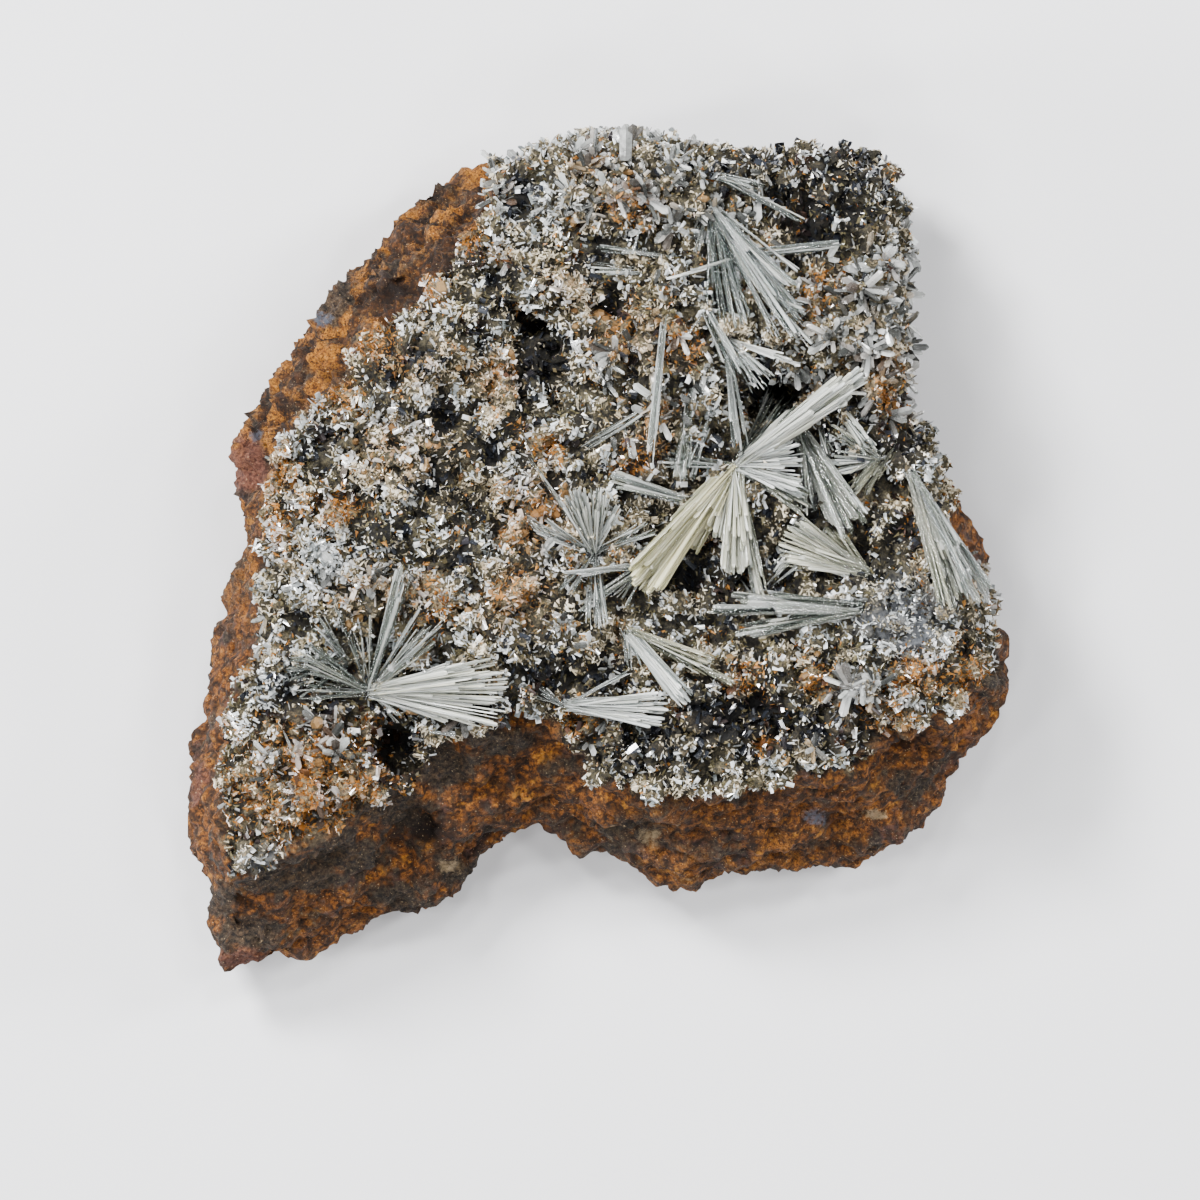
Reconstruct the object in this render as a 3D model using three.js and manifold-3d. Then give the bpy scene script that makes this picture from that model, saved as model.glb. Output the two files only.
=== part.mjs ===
// A hand-sized mineral specimen: sprays of scholzite needles and small phosphophyllite blades on a
// piece of iron-stained gossan. It lies on its flat broken back with the crystal face up.
// Millimetres, +Z up, origin at the middle of the flat back. +Y is the top edge of the display face.
import * as THREE from "three";
import { mergeVertices } from "three/addons/utils/BufferGeometryUtils.js";
import { ImprovedNoise } from "three/addons/math/ImprovedNoise.js";
import Module from "manifold-3d";

const wasm = await Module();
wasm.setup();
const perlin = new ImprovedNoise();

// Driving dimensions
const FACE_LEVEL = 25; // mean height of the crystal face above the flat back
const FACE_FALL = 0.05; // the face loses this much height for each millimetre towards -Y
const RIM_ROUNDING = 2.2; // how far the face rolls down at its rim
const ROCK_DETAIL = 10; // subdivisions of each icosahedron edge
const FACE_SHARE = 0.17; // sine of the latitude where the face meets the flank
const BACK_SHARE = -0.57; // sine of the latitude where the flank meets the flat back
const BULGE_AT = 0.7; // share of the flank's height, from the rim down, where it is widest
const BACK_TUCK = 0.9; // the flat back's radius against the widest outline
const GAP = 0.3; // space left between touching solids
const SWELLS = { size: 9, height: 1.7, offset: 0.4 }; // broad waves of the crystal face
const CLUMPS = { size: 4.2, height: 2.0, offset: 7.3 }; // crusty clumps on it
const BLOCKS = { size: 8, height: 2.2, offset: 0 }; // blocky breaks of the flank
const CRAGS = { size: 2.7, height: 1.8, offset: 0 }; // smaller crags on them
const FLANK_LOSS = 0.1; // how far the flank lies inside its outline on average
const FINEST_FACET = 0.15; // details finer than this are left out
const ANGLE_STEPS = 720; // how finely the outlines are measured
const CRYSTAL_FOOT = 0.55; // a crystal's radius at its foot, against its widest radius
const CRYSTAL_POINT = 1.2; // the length of its point, against its widest radius
const NEEDLE_FLATNESS = 0.62; // thickness of a needle against its width
const BLADE_FLATNESS = 0.4; // and of a blade
const NEEDLE_CLEARANCE = 0.5; // needles pass at least this far above the face
const CLEARANCE_SHARES = [0.3, 0.5, 0.7, 0.85]; // where along a needle that is tested
const NEEDLE_KNOB = { radius: 1.25, depth: 1.1, rise: 0.3, foot: 0.6 }; // the knob that a spray grows from
const BLADE_KNOB = { radius: 0.9, depth: 0.8, rise: 0.2, foot: 0.2 }; // and a cluster of blades
const BLADE_WIDTH = 0.26; // a cluster blade's radius, against its length
const BLADE_CLIMB = { least: 28, most: 73 }; // how steeply a cluster's blades stand, in degrees
const BOULDER_ROUGHNESS = { share: 0.35, waves: 1.7 }; // unevenness of lumps, hollows and knobs
const SEEDS = { sprays: 11, blades: 71, clusters: 5003, druse: 4242, step: 97 }; // for repeatable chance
const CENTRE = new THREE.Vector2(-10, 2); // both outlines are star-shaped about this point

// The widest outline of the rock, clockwise from the top left corner
const SILHOUETTE = [
  [-10.3, 38.6], [-6.4, 38.9], [-3.7, 40.4], [-0.5, 41.0], [2.4, 41.2], [5.4, 40.0], [7.5, 38.6],
  [10.7, 38.4], [15.8, 39.3], [19.6, 39.6], [24.9, 40.7], [26.6, 40.0], [28.1, 37.0], [29.2, 35.1],
  [28.8, 33.5], [29.9, 29.3], [30.5, 24.5], [29.5, 22.8], [30.8, 19.9], [29.5, 17.7], [30.3, 14.8],
  [32.4, 11.1], [33.5, 7.3], [36.8, 2.3], [36.9, -1.8], [38.8, -6.8], [40.3, -9.2], [40.3, -13.5],
  [39.0, -17.6], [35.0, -21.2], [31.9, -25.6], [30.0, -28.5], [26.5, -30.0], [21.2, -32.6],
  [19.5, -33.2], [16.0, -32.4], [11.2, -33.3], [5.7, -33.2], [1.6, -31.0], [-2.4, -29.8],
  [-6.0, -28.4], [-7.2, -27.6], [-8.6, -29.0], [-10.9, -30.9], [-16.3, -35.2], [-23.5, -37.8],
  [-29.2, -40.8], [-33.2, -41.9], [-38.6, -41.9], [-39.2, -38.8], [-38.8, -36.5], [-39.7, -28.0],
  [-40.6, -20.4], [-38.8, -13.8], [-37.3, -9.0], [-36.2, -3.9], [-34.3, 2.1], [-36.0, 4.8],
  [-37.4, 8.8], [-35.4, 11.1], [-34.5, 14.3], [-31.3, 18.0], [-28.3, 22.8], [-25.3, 27.7],
  [-21.1, 32.3], [-15.9, 36.1], [-12.8, 38.6],
];

// The rim of the crystal face, where the bare orange flank begins
const RIM = [
  [-10.8, 37.6], [-6.4, 37.8], [-3.7, 39.2], [2.4, 40.0], [7.5, 37.6], [15.8, 38.0], [24.9, 39.2],
  [26.8, 36.6], [27.8, 33.0], [28.8, 27.0], [28.9, 20.0], [28.6, 15.0], [30.6, 11.0], [32.4, 6.5],
  [35.2, 2.0], [35.4, -3.0], [37.4, -8.0], [38.8, -12.2], [34.1, -16.5], [31.2, -17.4],
  [28.3, -18.8], [25.3, -20.9], [22.4, -22.6], [15.1, -24.1], [7.2, -24.8], [2.8, -24.1],
  [-0.2, -22.9], [-2.6, -20.4], [-5.0, -17.4], [-7.4, -16.2], [-9.9, -17.0], [-13.1, -18.3],
  [-16.4, -19.4], [-20.0, -23.6], [-22.4, -26.0], [-25.9, -28.0], [-29.2, -29.3], [-33.2, -32.3],
  [-36.5, -33.1], [-37.8, -28.0], [-37.8, -20.2], [-36.8, -15.2], [-34.4, -10.2], [-33.8, -5.2],
  [-33.6, 2.0], [-31.6, 9.4], [-29.1, 14.0], [-25.6, 16.4], [-23.8, 20.7], [-19.2, 24.2],
  [-15.6, 27.6], [-12.6, 30.8], [-11.4, 34.1],
];

// Swells and hollows of the crystal face: [x, y, radius, height]
const RELIEF = [
  [-29, -22, 7, 2.6], // knob at the lower left
  [-22, -14.5, 6, -2.0], // nest of the lower left spray
  [-19.5, -19.5, 3, -3.5], // dark hole below it
  [-17, -5, 6, 2.0], // frosted shoulder in the middle left
  [-8, -6.5, 5, 1.6],
  [-22, 14, 8, 2.2],
  [-6, 20, 4, -4.6], // dark cleft
  [-2, 14, 3.5, -2.6],
  [3, 36, 7, 2.2], // top crest
  [-8.5, 37, 2.2, -3.0], // notch in the top edge
  [20, 32, 6, -4.2], // shaded corner at the top right
  [27, 24, 5, 2.4], // bladed shoulder at the right
  [16.5, 13.5, 5, -4.8], // deepest part of the main vug
  [14, -2, 7, -2.2],
  [24, 4, 6, -2.6],
  [2, -9.5, 4, -1.8],
  [-2, -13, 3.5, -1.6],
  [31, -8, 7, 1.8], // powdery shelf at the lower right
  [14, -18, 8, -0.6],
  [8, 4, 5, -1.6],
];

// Hollows broken right into the rock: [x, y, height of the centre, plan radius, depth radius]
const PITS = [
  [-17.0, -28.0, 14.5, 2.6, 3.0],
  [-37.2, -9.4, 15.5, 1.6, 2.0],
  [-20.0, -20.0, 19.0, 2.6, 4.5],
  [-6.8, 22.6, 23.5, 2.0, 4.0],
  [-4.4, 15.2, 23.5, 1.6, 3.5],
  [17.6, 13.6, 19.0, 2.6, 4.5],
  [28.0, -1.2, 20.5, 1.8, 3.5],
  [4.4, -9.0, 19.5, 2.0, 3.5],
];

// Rounded masses that swell from the rock's edge: [x, y, height, plan radius, depth radius]
const LUMPS = [
  [-31.5, 7.5, 14, 5.0, 5.0], // reddish lobe
  [-26.0, 17.5, 14, 4.6, 4.4],
  [-19.0, 25.0, 16, 4.6, 4.0],
  [24.0, -24.0, 8, 5.6, 5.0],
  [-31.0, -33.5, 9, 6.2, 5.6],
  [33.8, -12.0, 17, 5.0, 5.0],
  [23.6, 34.4, 19, 4.8, 5.0],
];

// Each spray grows from one foot. A limb is [bearing in degrees from +X, length, half spread in degrees,
// needle radius, needles, height of the tips above the face].
const SPRAYS = {
  scholzite_lower_left_spray: {
    foot: [-22.7, -14.2],
    limbs: [
      [0, 13.4, 17, 0.8, 7, 3.6],
      [74, 13.0, 4, 0.6, 3, 3.4],
      [57, 10.2, 0, 0.4, 1, 3.6],
      [111, 15.0, 0, 0.34, 1, 2.8],
      [42, 9.4, 7, 0.3, 2, 2.6],
      [165, 8.0, 22, 0.34, 4, 2.4],
    ],
  },
  scholzite_middle_fan: {
    foot: [-3.6, -15.6],
    limbs: [
      [-3, 10.4, 12, 0.6, 5, 3.2],
      [27, 7.4, 0, 0.34, 1, 3.0],
    ],
  },
  scholzite_lower_centre_fan: {
    foot: [2.6, -8.2],
    limbs: [
      [-50, 9.6, 8, 0.6, 4, 2.6],
      [-24, 9.0, 6, 0.5, 3, 1.6],
    ],
  },
  scholzite_centre_left_burst: {
    foot: [-0.6, -0.6],
    limbs: [
      [98, 6.6, 24, 0.5, 5, 2.8],
      [124, 12.0, 0, 0.34, 1, 2.0],
      [62, 5.4, 0, 0.6, 1, 3.6],
      [156, 5.6, 12, 0.4, 2, 1.6],
      [26, 6.4, 8, 0.3, 2, 2.6],
      [-88, 7.6, 7, 0.34, 2, 1.6],
    ],
  },
  scholzite_crossing_bars: {
    foot: [4.6, -1.6],
    limbs: [
      [188, 8.4, 4, 0.5, 3, 3.0],
      [214, 8.0, 5, 0.46, 3, 1.6],
    ],
  },
  scholzite_great_spray: {
    foot: [13.4, 8.0],
    limbs: [
      [232, 15.4, 8, 1.15, 6, 3.4],
      [270, 10.6, 8, 1.0, 4, 3.6],
      [281, 14.6, 3, 0.6, 2, 1.8],
      [37, 14.2, 6, 0.95, 5, 4.2],
      [-12, 7.0, 22, 0.5, 5, 4.2],
      [176, 7.0, 6, 0.4, 2, 2.4],
    ],
  },
  scholzite_left_arm: {
    foot: [8.6, 4.6],
    limbs: [[166, 8.0, 5, 0.5, 3, 3.0]],
  },
  scholzite_right_long_prisms: {
    foot: [19.8, 11.4],
    limbs: [
      [-52, 11.2, 3, 0.65, 2, 3.0],
      [-66, 11.8, 3, 0.6, 2, 2.6],
      [-80, 8.4, 0, 0.5, 1, 2.4],
    ],
  },
  scholzite_right_low_fan: {
    foot: [26.4, -2.6],
    limbs: [[157, 9.2, 17, 0.6, 6, 3.2]],
  },
  scholzite_right_small_fan: {
    foot: [27.6, 8.6],
    limbs: [
      [186, 5.0, 18, 0.4, 3, 2.2],
      [226, 5.2, 9, 0.4, 2, 2.0],
      [146, 6.2, 6, 0.4, 2, 2.2],
    ],
  },
  scholzite_glassy_bars: {
    foot: [26.0, -6.0],
    limbs: [
      [174, 13.2, 2, 0.7, 3, 2.4],
      [181, 15.6, 2, 0.55, 2, 1.8],
      [191, 13.0, 3, 0.6, 3, 1.6],
    ],
  },
  scholzite_far_right_fan: {
    foot: [30.6, 7.4],
    limbs: [
      [-60, 14.6, 5, 0.75, 5, 2.6],
      [-73, 14.0, 5, 0.6, 3, 2.4],
    ],
  },
  scholzite_top_spray: {
    foot: [10.8, 33.6],
    limbs: [
      [-58, 15.6, 5, 0.9, 5, 3.0],
      [-45, 11.4, 3, 0.6, 2, 3.6],
      [-77, 13.4, 7, 0.55, 3, 2.6],
    ],
  },
  scholzite_top_cross_needles: {
    foot: [14.8, 28.9],
    limbs: [
      [197, 8.8, 0, 0.4, 1, 5.0],
      [5, 9.2, 3, 0.46, 2, 4.0],
    ],
  },
  scholzite_top_long_needle: {
    foot: [11.6, 36.4],
    limbs: [[-27, 9.8, 2, 0.5, 2, 3.4]],
  },
  scholzite_top_left_needle: {
    foot: [6.8, 28.6],
    limbs: [[173, 7.4, 3, 0.44, 2, 2.0]],
  },
  scholzite_hanging_needles: {
    foot: [12.4, 20.4],
    limbs: [
      [-82, 11.2, 3, 0.5, 2, 2.6],
      [-18, 7.8, 4, 0.4, 2, 3.0],
      [-50, 6.0, 0, 0.34, 1, 2.0],
    ],
  },
  scholzite_left_column: {
    foot: [6.3, 22.6],
    limbs: [[-95, 14.6, 2, 0.55, 2, 2.6]],
  },
  scholzite_column_partner: {
    foot: [9.0, 15.6],
    limbs: [[-97, 9.2, 5, 0.4, 2, 2.0]],
  },
  scholzite_left_stray: {
    foot: [-1.6, 9.8],
    limbs: [[30, 6.4, 3, 0.4, 2, 2.2]],
  },
  scholzite_lower_stray: {
    foot: [8.2, -10.8],
    limbs: [[-29, 5.8, 4, 0.6, 2, 1.8]],
  },
};

// Phosphophyllite blades that stand alone, written as sprays are
const LONE_BLADES = {
  phosphophyllite_crest_blade: {
    foot: [2.5, 38.0],
    limbs: [[90, 4.0, 0, 0.66, 1, 1.0]],
  },
};

// Clusters of phosphophyllite blades: [x, y, longest blade, blades]
const BLADE_CLUSTERS = {
  phosphophyllite_crest: [-0.6, 38.2, 3.2, 4],
  phosphophyllite_upper_left: [-10.0, 34.6, 3.0, 3],
  phosphophyllite_crown: [4.6, 34.4, 2.8, 4],
  phosphophyllite_top_middle: [7.2, 31.6, 2.8, 3],
  phosphophyllite_right_shoulder: [25.8, 25.2, 3.4, 5],
  phosphophyllite_right_rim: [26.6, 19.4, 3.0, 4],
  phosphophyllite_right_notch: [22.8, 20.6, 2.8, 4],
  phosphophyllite_right_low: [28.4, 13.0, 3.0, 3],
  phosphophyllite_middle: [1.4, 19.2, 3.2, 4],
  phosphophyllite_left: [-24.8, 9.2, 2.8, 3],
  phosphophyllite_nest_edge: [1.0, -12.0, 2.6, 3],
  phosphophyllite_lower_left: [-26.0, -20.4, 2.8, 4],
  phosphophyllite_ledge: [-13.6, -16.6, 2.8, 3],
  phosphophyllite_lower_right: [24.6, -13.8, 3.0, 4],
};

// Small blades fused to the rock all over the crystal face
const DRUSE_BLADES = 80;
const DRUSE_LENGTH = 2.3;
const DRUSE_RADIUS = 0.9;
const DRUSE_FLATNESS = 0.5;
const DRUSE_LEAN = 2.4; // most difference in x or y between the tips of two blades on one foot
const DRUSE_REACH = 0.96; // how near the rim the blades grow, as a share of its radius
const DRUSE_SINK = 0.5; // how deep they root in the face

const GOSSAN = { color: 0x8a5a2a, roughness: 0.9, metalness: 0 };
const SCHOLZITE = { color: 0xd6dcd4, roughness: 0.25, metalness: 0 };
const PHOSPHOPHYLLITE = { color: 0xdfe3e2, roughness: 0.35, metalness: 0 };

// Repeatable random numbers from 0 to 1
function randomStream(seed) {
  let state = seed;
  return () => {
    state = (state * 1664525 + 1013904223) % 4294967296;
    return state / 4294967296;
  };
}

// A random number in a range
function between(random, low, high) {
  return THREE.MathUtils.lerp(low, high, random());
}

// A closed three.js geometry as a solid, turned right side out
function solidOf(geometry) {
  const bare = geometry.index ? geometry.toNonIndexed() : geometry.clone();
  bare.deleteAttribute("normal");
  bare.deleteAttribute("uv");
  const merged = mergeVertices(bare, 1e-3);
  const vertProperties = merged.attributes.position.array;
  const triVerts = new Uint32Array(merged.index.array);
  const solid = new wasm.Manifold(new wasm.Mesh({ numProp: 3, vertProperties, triVerts }));
  if (solid.volume() > 0) return solid;
  triVerts.reverse();
  return new wasm.Manifold(new wasm.Mesh({ numProp: 3, vertProperties, triVerts }));
}

// A solid as a flat-shaded, named mesh
function meshOf(name, solid, look) {
  const { numProp, numVert, vertProperties, triVerts } = solid.getMesh();
  const positions = new Float32Array(numVert * 3);
  for (let i = 0; i < numVert; i++) {
    positions.set(vertProperties.subarray(i * numProp, i * numProp + 3), i * 3);
  }
  const geometry = new THREE.BufferGeometry();
  geometry.setAttribute("position", new THREE.BufferAttribute(positions, 3));
  geometry.setIndex(new THREE.BufferAttribute(triVerts, 1));
  geometry.computeVertexNormals();
  const material = new THREE.MeshStandardMaterial({ ...look, flatShading: true });
  const mesh = new THREE.Mesh(geometry, material);
  mesh.name = name;
  return mesh;
}

// The largest separate body of a solid, for when a cut leaves slivers
function largestBody(solid) {
  return solid.decompose().reduce((best, body) => (body.volume() > best.volume() ? body : best));
}

// An outline's corners as polar angles and radii about CENTRE, anticlockwise, closed at both ends
function polarRing(outline) {
  const polar = outline
    .map(([x, y]) => new THREE.Vector2(x, y).sub(CENTRE))
    .map((point) => ({ angle: Math.atan2(point.y, point.x), radius: point.length() }))
    .sort((a, b) => a.angle - b.angle);
  const turn = 2 * Math.PI;
  const first = polar[0];
  const last = polar[polar.length - 1];
  return [
    { angle: last.angle - turn, radius: last.radius },
    ...polar,
    { angle: first.angle + turn, radius: first.radius },
  ];
}

// A ring as a function from the angle to the radius there
function radiusOfAngle(ring) {
  return (angle) => {
    const next = ring.findIndex((corner) => corner.angle > angle);
    const [from, to] = [ring[next - 1], ring[next]];
    const share = (angle - from.angle) / (to.angle - from.angle);
    return THREE.MathUtils.lerp(from.radius, to.radius, share);
  };
}

// The angles that part a ring into steps of equal length, so that facets stay even along it
function evenAngles(radius) {
  const point = (angle) => new THREE.Vector2(Math.cos(angle), Math.sin(angle)).multiplyScalar(radius(angle));
  const angles = Array.from({ length: ANGLE_STEPS + 1 }, (_, i) => (2 * i / ANGLE_STEPS - 1) * Math.PI);
  const lengths = [0];
  for (let i = 1; i <= ANGLE_STEPS; i++) {
    lengths.push(lengths[i - 1] + point(angles[i]).distanceTo(point(angles[i - 1])));
  }
  return (share) => {
    const length = share * lengths[ANGLE_STEPS];
    const next = Math.max(lengths.findIndex((reached) => reached >= length), 1);
    const part = (length - lengths[next - 1]) / (lengths[next] - lengths[next - 1]);
    return THREE.MathUtils.lerp(angles[next - 1], angles[next], part);
  };
}

const silhouetteRadius = radiusOfAngle(polarRing(SILHOUETTE));
const rimRadius = radiusOfAngle(polarRing(RIM));
const evenAngle = evenAngles(silhouetteRadius);

// Smooth random relief of one size and height
function unevenness({ size, height, offset }, x, y, z) {
  return height * perlin.noise(x / size, y / size, z / size + offset);
}

// Height of the crystal face above the flat back
function faceHeight(x, y) {
  const relief = RELIEF.reduce((sum, [cx, cy, radius, height]) => {
    const distance = Math.hypot(x - cx, y - cy) / radius;
    return sum + height * Math.exp(-distance * distance);
  }, 0);
  return FACE_LEVEL + FACE_FALL * y + relief + unevenness(SWELLS, x, y, 0) + unevenness(CLUMPS, x, y, 0);
}

// Height of the top surface, with its rolled rim
function topHeight(x, y) {
  const angle = Math.atan2(y - CENTRE.y, x - CENTRE.x);
  const share = Math.hypot(x - CENTRE.x, y - CENTRE.y) / rimRadius(angle);
  return faceHeight(x, y) - RIM_ROUNDING * Math.min(share, 1) ** 8;
}

// Moves a point of the unit sphere to the rock's surface, and outwards by grow
function rockPoint(direction, grow) {
  const angle = evenAngle(Math.atan2(direction.y, direction.x) / (2 * Math.PI) + 0.5);
  const rim = rimRadius(angle);
  const widest = silhouetteRadius(angle);
  const latitude = direction.z;
  let radius;
  let z = 0;
  if (latitude > FACE_SHARE) {
    radius = rim * Math.sqrt((1 - latitude) / (1 - FACE_SHARE));
    z = topHeight(CENTRE.x + radius * Math.cos(angle), CENTRE.y + radius * Math.sin(angle)) + grow;
  } else if (latitude > BACK_SHARE) {
    const down = (FACE_SHARE - latitude) / (FACE_SHARE - BACK_SHARE);
    const rimHeight = topHeight(CENTRE.x + rim * Math.cos(angle), CENTRE.y + rim * Math.sin(angle));
    z = (rimHeight + grow) * (1 - down);
    const out = THREE.MathUtils.smoothstep(down, 0, BULGE_AT);
    const under = THREE.MathUtils.smoothstep(down, BULGE_AT, 1);
    radius = THREE.MathUtils.lerp(rim, widest, out) * THREE.MathUtils.lerp(1, BACK_TUCK, under);
    const [x, y] = [radius * Math.cos(angle), radius * Math.sin(angle)];
    const relief = unevenness(BLOCKS, x, y, z) + unevenness(CRAGS, x, y, z) - FLANK_LOSS;
    radius += relief * Math.sin(Math.PI * down) + grow;
  } else {
    radius = widest * BACK_TUCK * Math.sqrt((1 + latitude) / (1 + BACK_SHARE));
  }
  return [CENTRE.x + radius * Math.cos(angle), CENTRE.y + radius * Math.sin(angle), z];
}

// The bare rock, grown by a small amount where a copy is needed to trim its neighbours
function rockBody(grow) {
  const ball = new THREE.IcosahedronGeometry(1, ROCK_DETAIL);
  const position = ball.attributes.position;
  const direction = new THREE.Vector3();
  for (let i = 0; i < position.count; i++) {
    direction.fromBufferAttribute(position, i).normalize();
    position.setXYZ(i, ...rockPoint(direction, grow));
  }
  return solidOf(ball);
}

// A rough rounded lump or hollow
function boulder(x, y, z, radius, depth, detail) {
  const ball = new THREE.IcosahedronGeometry(1, detail);
  const position = ball.attributes.position;
  for (let i = 0; i < position.count; i++) {
    const [bx, by, bz] = [position.getX(i), position.getY(i), position.getZ(i)];
    const { share, waves } = BOULDER_ROUGHNESS;
    const size = 1 + share * perlin.noise(bx * waves + x, by * waves + y, bz * waves);
    position.setXYZ(i, x + bx * radius * size, y + by * radius * size, z + bz * depth * size);
  }
  return solidOf(ball);
}

// A four-sided crystal from one point to another, thickest near its tip, with a pointed end.
// Its section is flattened by flat, and turned about its length by twist.
function crystal(from, to, radius, flat, twist) {
  const length = from.distanceTo(to);
  const profile = [
    new THREE.Vector2(0, 0),
    new THREE.Vector2(radius * CRYSTAL_FOOT, 0),
    new THREE.Vector2(radius, length - radius * CRYSTAL_POINT),
    new THREE.Vector2(0, length),
  ];
  const geometry = new THREE.LatheGeometry(profile, 4);
  geometry.scale(1, 1, flat);
  geometry.rotateY(twist);
  const upright = new THREE.Vector3(0, 1, 0);
  const along = to.clone().sub(from).normalize();
  geometry.applyQuaternion(new THREE.Quaternion().setFromUnitVectors(upright, along));
  geometry.translate(from.x, from.y, from.z);
  return solidOf(geometry);
}

// The tip of one needle, kept clear of the rock along its way
function needleTip(foot, bearing, length, lift) {
  const x = foot.x + length * Math.cos(bearing);
  const y = foot.y + length * Math.sin(bearing);
  let z = topHeight(x, y) + lift;
  for (const share of CLEARANCE_SHARES) {
    const ground = topHeight(foot.x + (x - foot.x) * share, foot.y + (y - foot.y) * share);
    z = Math.max(z, foot.z + (ground + NEEDLE_CLEARANCE - foot.z) / share);
  }
  return new THREE.Vector3(x, y, z);
}

// The small knob of rock that crystals grow from at one place on the face
function knob({ radius, depth, rise }, x, y, grow) {
  return boulder(x, y, topHeight(x, y) + rise, radius + grow, depth + grow, 0);
}

// One spray of needles on a small knob, grown by a small amount where a trimming copy is needed
function sprayBody({ foot: [x, y], limbs }, seed, grow) {
  const random = randomStream(seed);
  const foot = new THREE.Vector3(x, y, topHeight(x, y) + NEEDLE_KNOB.foot);
  const bodies = [knob(NEEDLE_KNOB, x, y, grow)];
  for (const [bearing, length, spread, radius, count, lift] of limbs) {
    for (let i = 0; i < count; i++) {
      const side = count > 1 ? (2 * i) / (count - 1) - 1 : 0;
      const angle = THREE.MathUtils.degToRad(bearing + side * spread + between(random, -1, 1));
      const reach = length * (between(random, 0.78, 1) - 0.12 * side * side);
      const tip = needleTip(foot, angle, reach, lift * between(random, 0.75, 1.25));
      const thickness = radius * between(random, 0.8, 1.2);
      const end = tip.clone().sub(foot).setLength(tip.distanceTo(foot) + grow).add(foot);
      bodies.push(crystal(foot, end, thickness + grow, NEEDLE_FLATNESS, random() * Math.PI));
    }
  }
  return wasm.Manifold.union(bodies);
}

// A rosette of short blades standing on the face
function clusterBody([x, y, length, count], seed, grow) {
  const random = randomStream(seed);
  const foot = new THREE.Vector3(x, y, topHeight(x, y) + BLADE_KNOB.foot);
  const bodies = [knob(BLADE_KNOB, x, y, grow)];
  for (let i = 0; i < count; i++) {
    const bearing = (2 * Math.PI * i) / count + random();
    const climb = THREE.MathUtils.degToRad(between(random, BLADE_CLIMB.least, BLADE_CLIMB.most));
    const reach = length * between(random, 0.7, 1) + grow;
    const tip = new THREE.Vector3(
      foot.x + reach * Math.cos(climb) * Math.cos(bearing),
      foot.y + reach * Math.cos(climb) * Math.sin(bearing),
      foot.z + reach * Math.sin(climb),
    );
    bodies.push(crystal(foot, tip, length * BLADE_WIDTH + grow, BLADE_FLATNESS, random() * Math.PI));
  }
  return wasm.Manifold.union(bodies);
}

// Whether two solids' bounding boxes meet
function boxesMeet(a, b) {
  const [boxA, boxB] = [a.boundingBox(), b.boundingBox()];
  return [0, 1, 2].every((i) => boxA.min[i] <= boxB.max[i] && boxB.min[i] <= boxA.max[i]);
}

// Builds the crystals one by one, each cut clear of the rock and of those already placed
function placeCrystals(table, build, look, grownRock, placed, firstSeed) {
  return Object.entries(table).map(([name, entry], i) => {
    const seed = firstSeed + SEEDS.step * i;
    let solid = build(entry, seed, 0).subtract(grownRock);
    for (const other of placed) {
      if (boxesMeet(solid, other)) solid = solid.subtract(other);
    }
    placed.push(build(entry, seed, GAP));
    return meshOf(name, largestBody(solid.asOriginal().simplify(FINEST_FACET)), look);
  });
}

// Short blades on the rock itself, left out where a larger crystal stands
function druseBlades(placed) {
  const random = randomStream(SEEDS.druse);
  const blades = [];
  while (blades.length < DRUSE_BLADES) {
    const angle = (2 * random() - 1) * Math.PI;
    const radius = rimRadius(angle) * DRUSE_REACH * Math.sqrt(random());
    const x = CENTRE.x + radius * Math.cos(angle);
    const y = CENTRE.y + radius * Math.sin(angle);
    const foot = new THREE.Vector3(x, y, topHeight(x, y) - DRUSE_SINK);
    const lean = new THREE.Vector3(random() - 0.5, random() - 0.5, 0).multiplyScalar(DRUSE_LEAN);
    const tip = foot.clone().add(lean).setZ(foot.z + DRUSE_LENGTH * between(random, 0.8, 1.3));
    const thickness = DRUSE_RADIUS * between(random, 0.7, 1.3);
    const blade = crystal(foot, tip, thickness, DRUSE_FLATNESS, random() * Math.PI);
    const taken = placed.some((other) => boxesMeet(blade, other) && !blade.intersect(other).isEmpty());
    if (!taken) blades.push(blade);
  }
  return blades;
}

// The rock with its lumps and pits, and the druse fused to it
function matrixBody(placed) {
  const lumps = LUMPS.map(([x, y, z, radius, depth]) => boulder(x, y, z, radius, depth, 1));
  const pits = PITS.map(([x, y, z, radius, depth]) => boulder(x, y, z, radius, depth, 1));
  const rock = wasm.Manifold.union([rockBody(0), ...lumps]).subtract(wasm.Manifold.union(pits));
  const dressed = wasm.Manifold.union([rock, ...druseBlades(placed)]);
  return largestBody(dressed.asOriginal().simplify(FINEST_FACET));
}

function specimen() {
  const grownRock = rockBody(GAP);
  const placed = [];
  const grow = (table, build, look, seed) => placeCrystals(table, build, look, grownRock, placed, seed);
  const crystals = [
    ...grow(SPRAYS, sprayBody, SCHOLZITE, SEEDS.sprays),
    ...grow(LONE_BLADES, sprayBody, PHOSPHOPHYLLITE, SEEDS.blades),
    ...grow(BLADE_CLUSTERS, clusterBody, PHOSPHOPHYLLITE, SEEDS.clusters),
  ];
  const group = new THREE.Group();
  group.add(meshOf("matrix", matrixBody(placed), GOSSAN), ...crystals);
  return group;
}

const model = specimen();
export default model;
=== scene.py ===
"""Scholzite needle sprays and a phosphophyllite druse on iron-stained gossan, seen from above."""

import math

import bpy
import numpy as np
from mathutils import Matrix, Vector, noise
from mathutils.bvhtree import BVHTree


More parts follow.
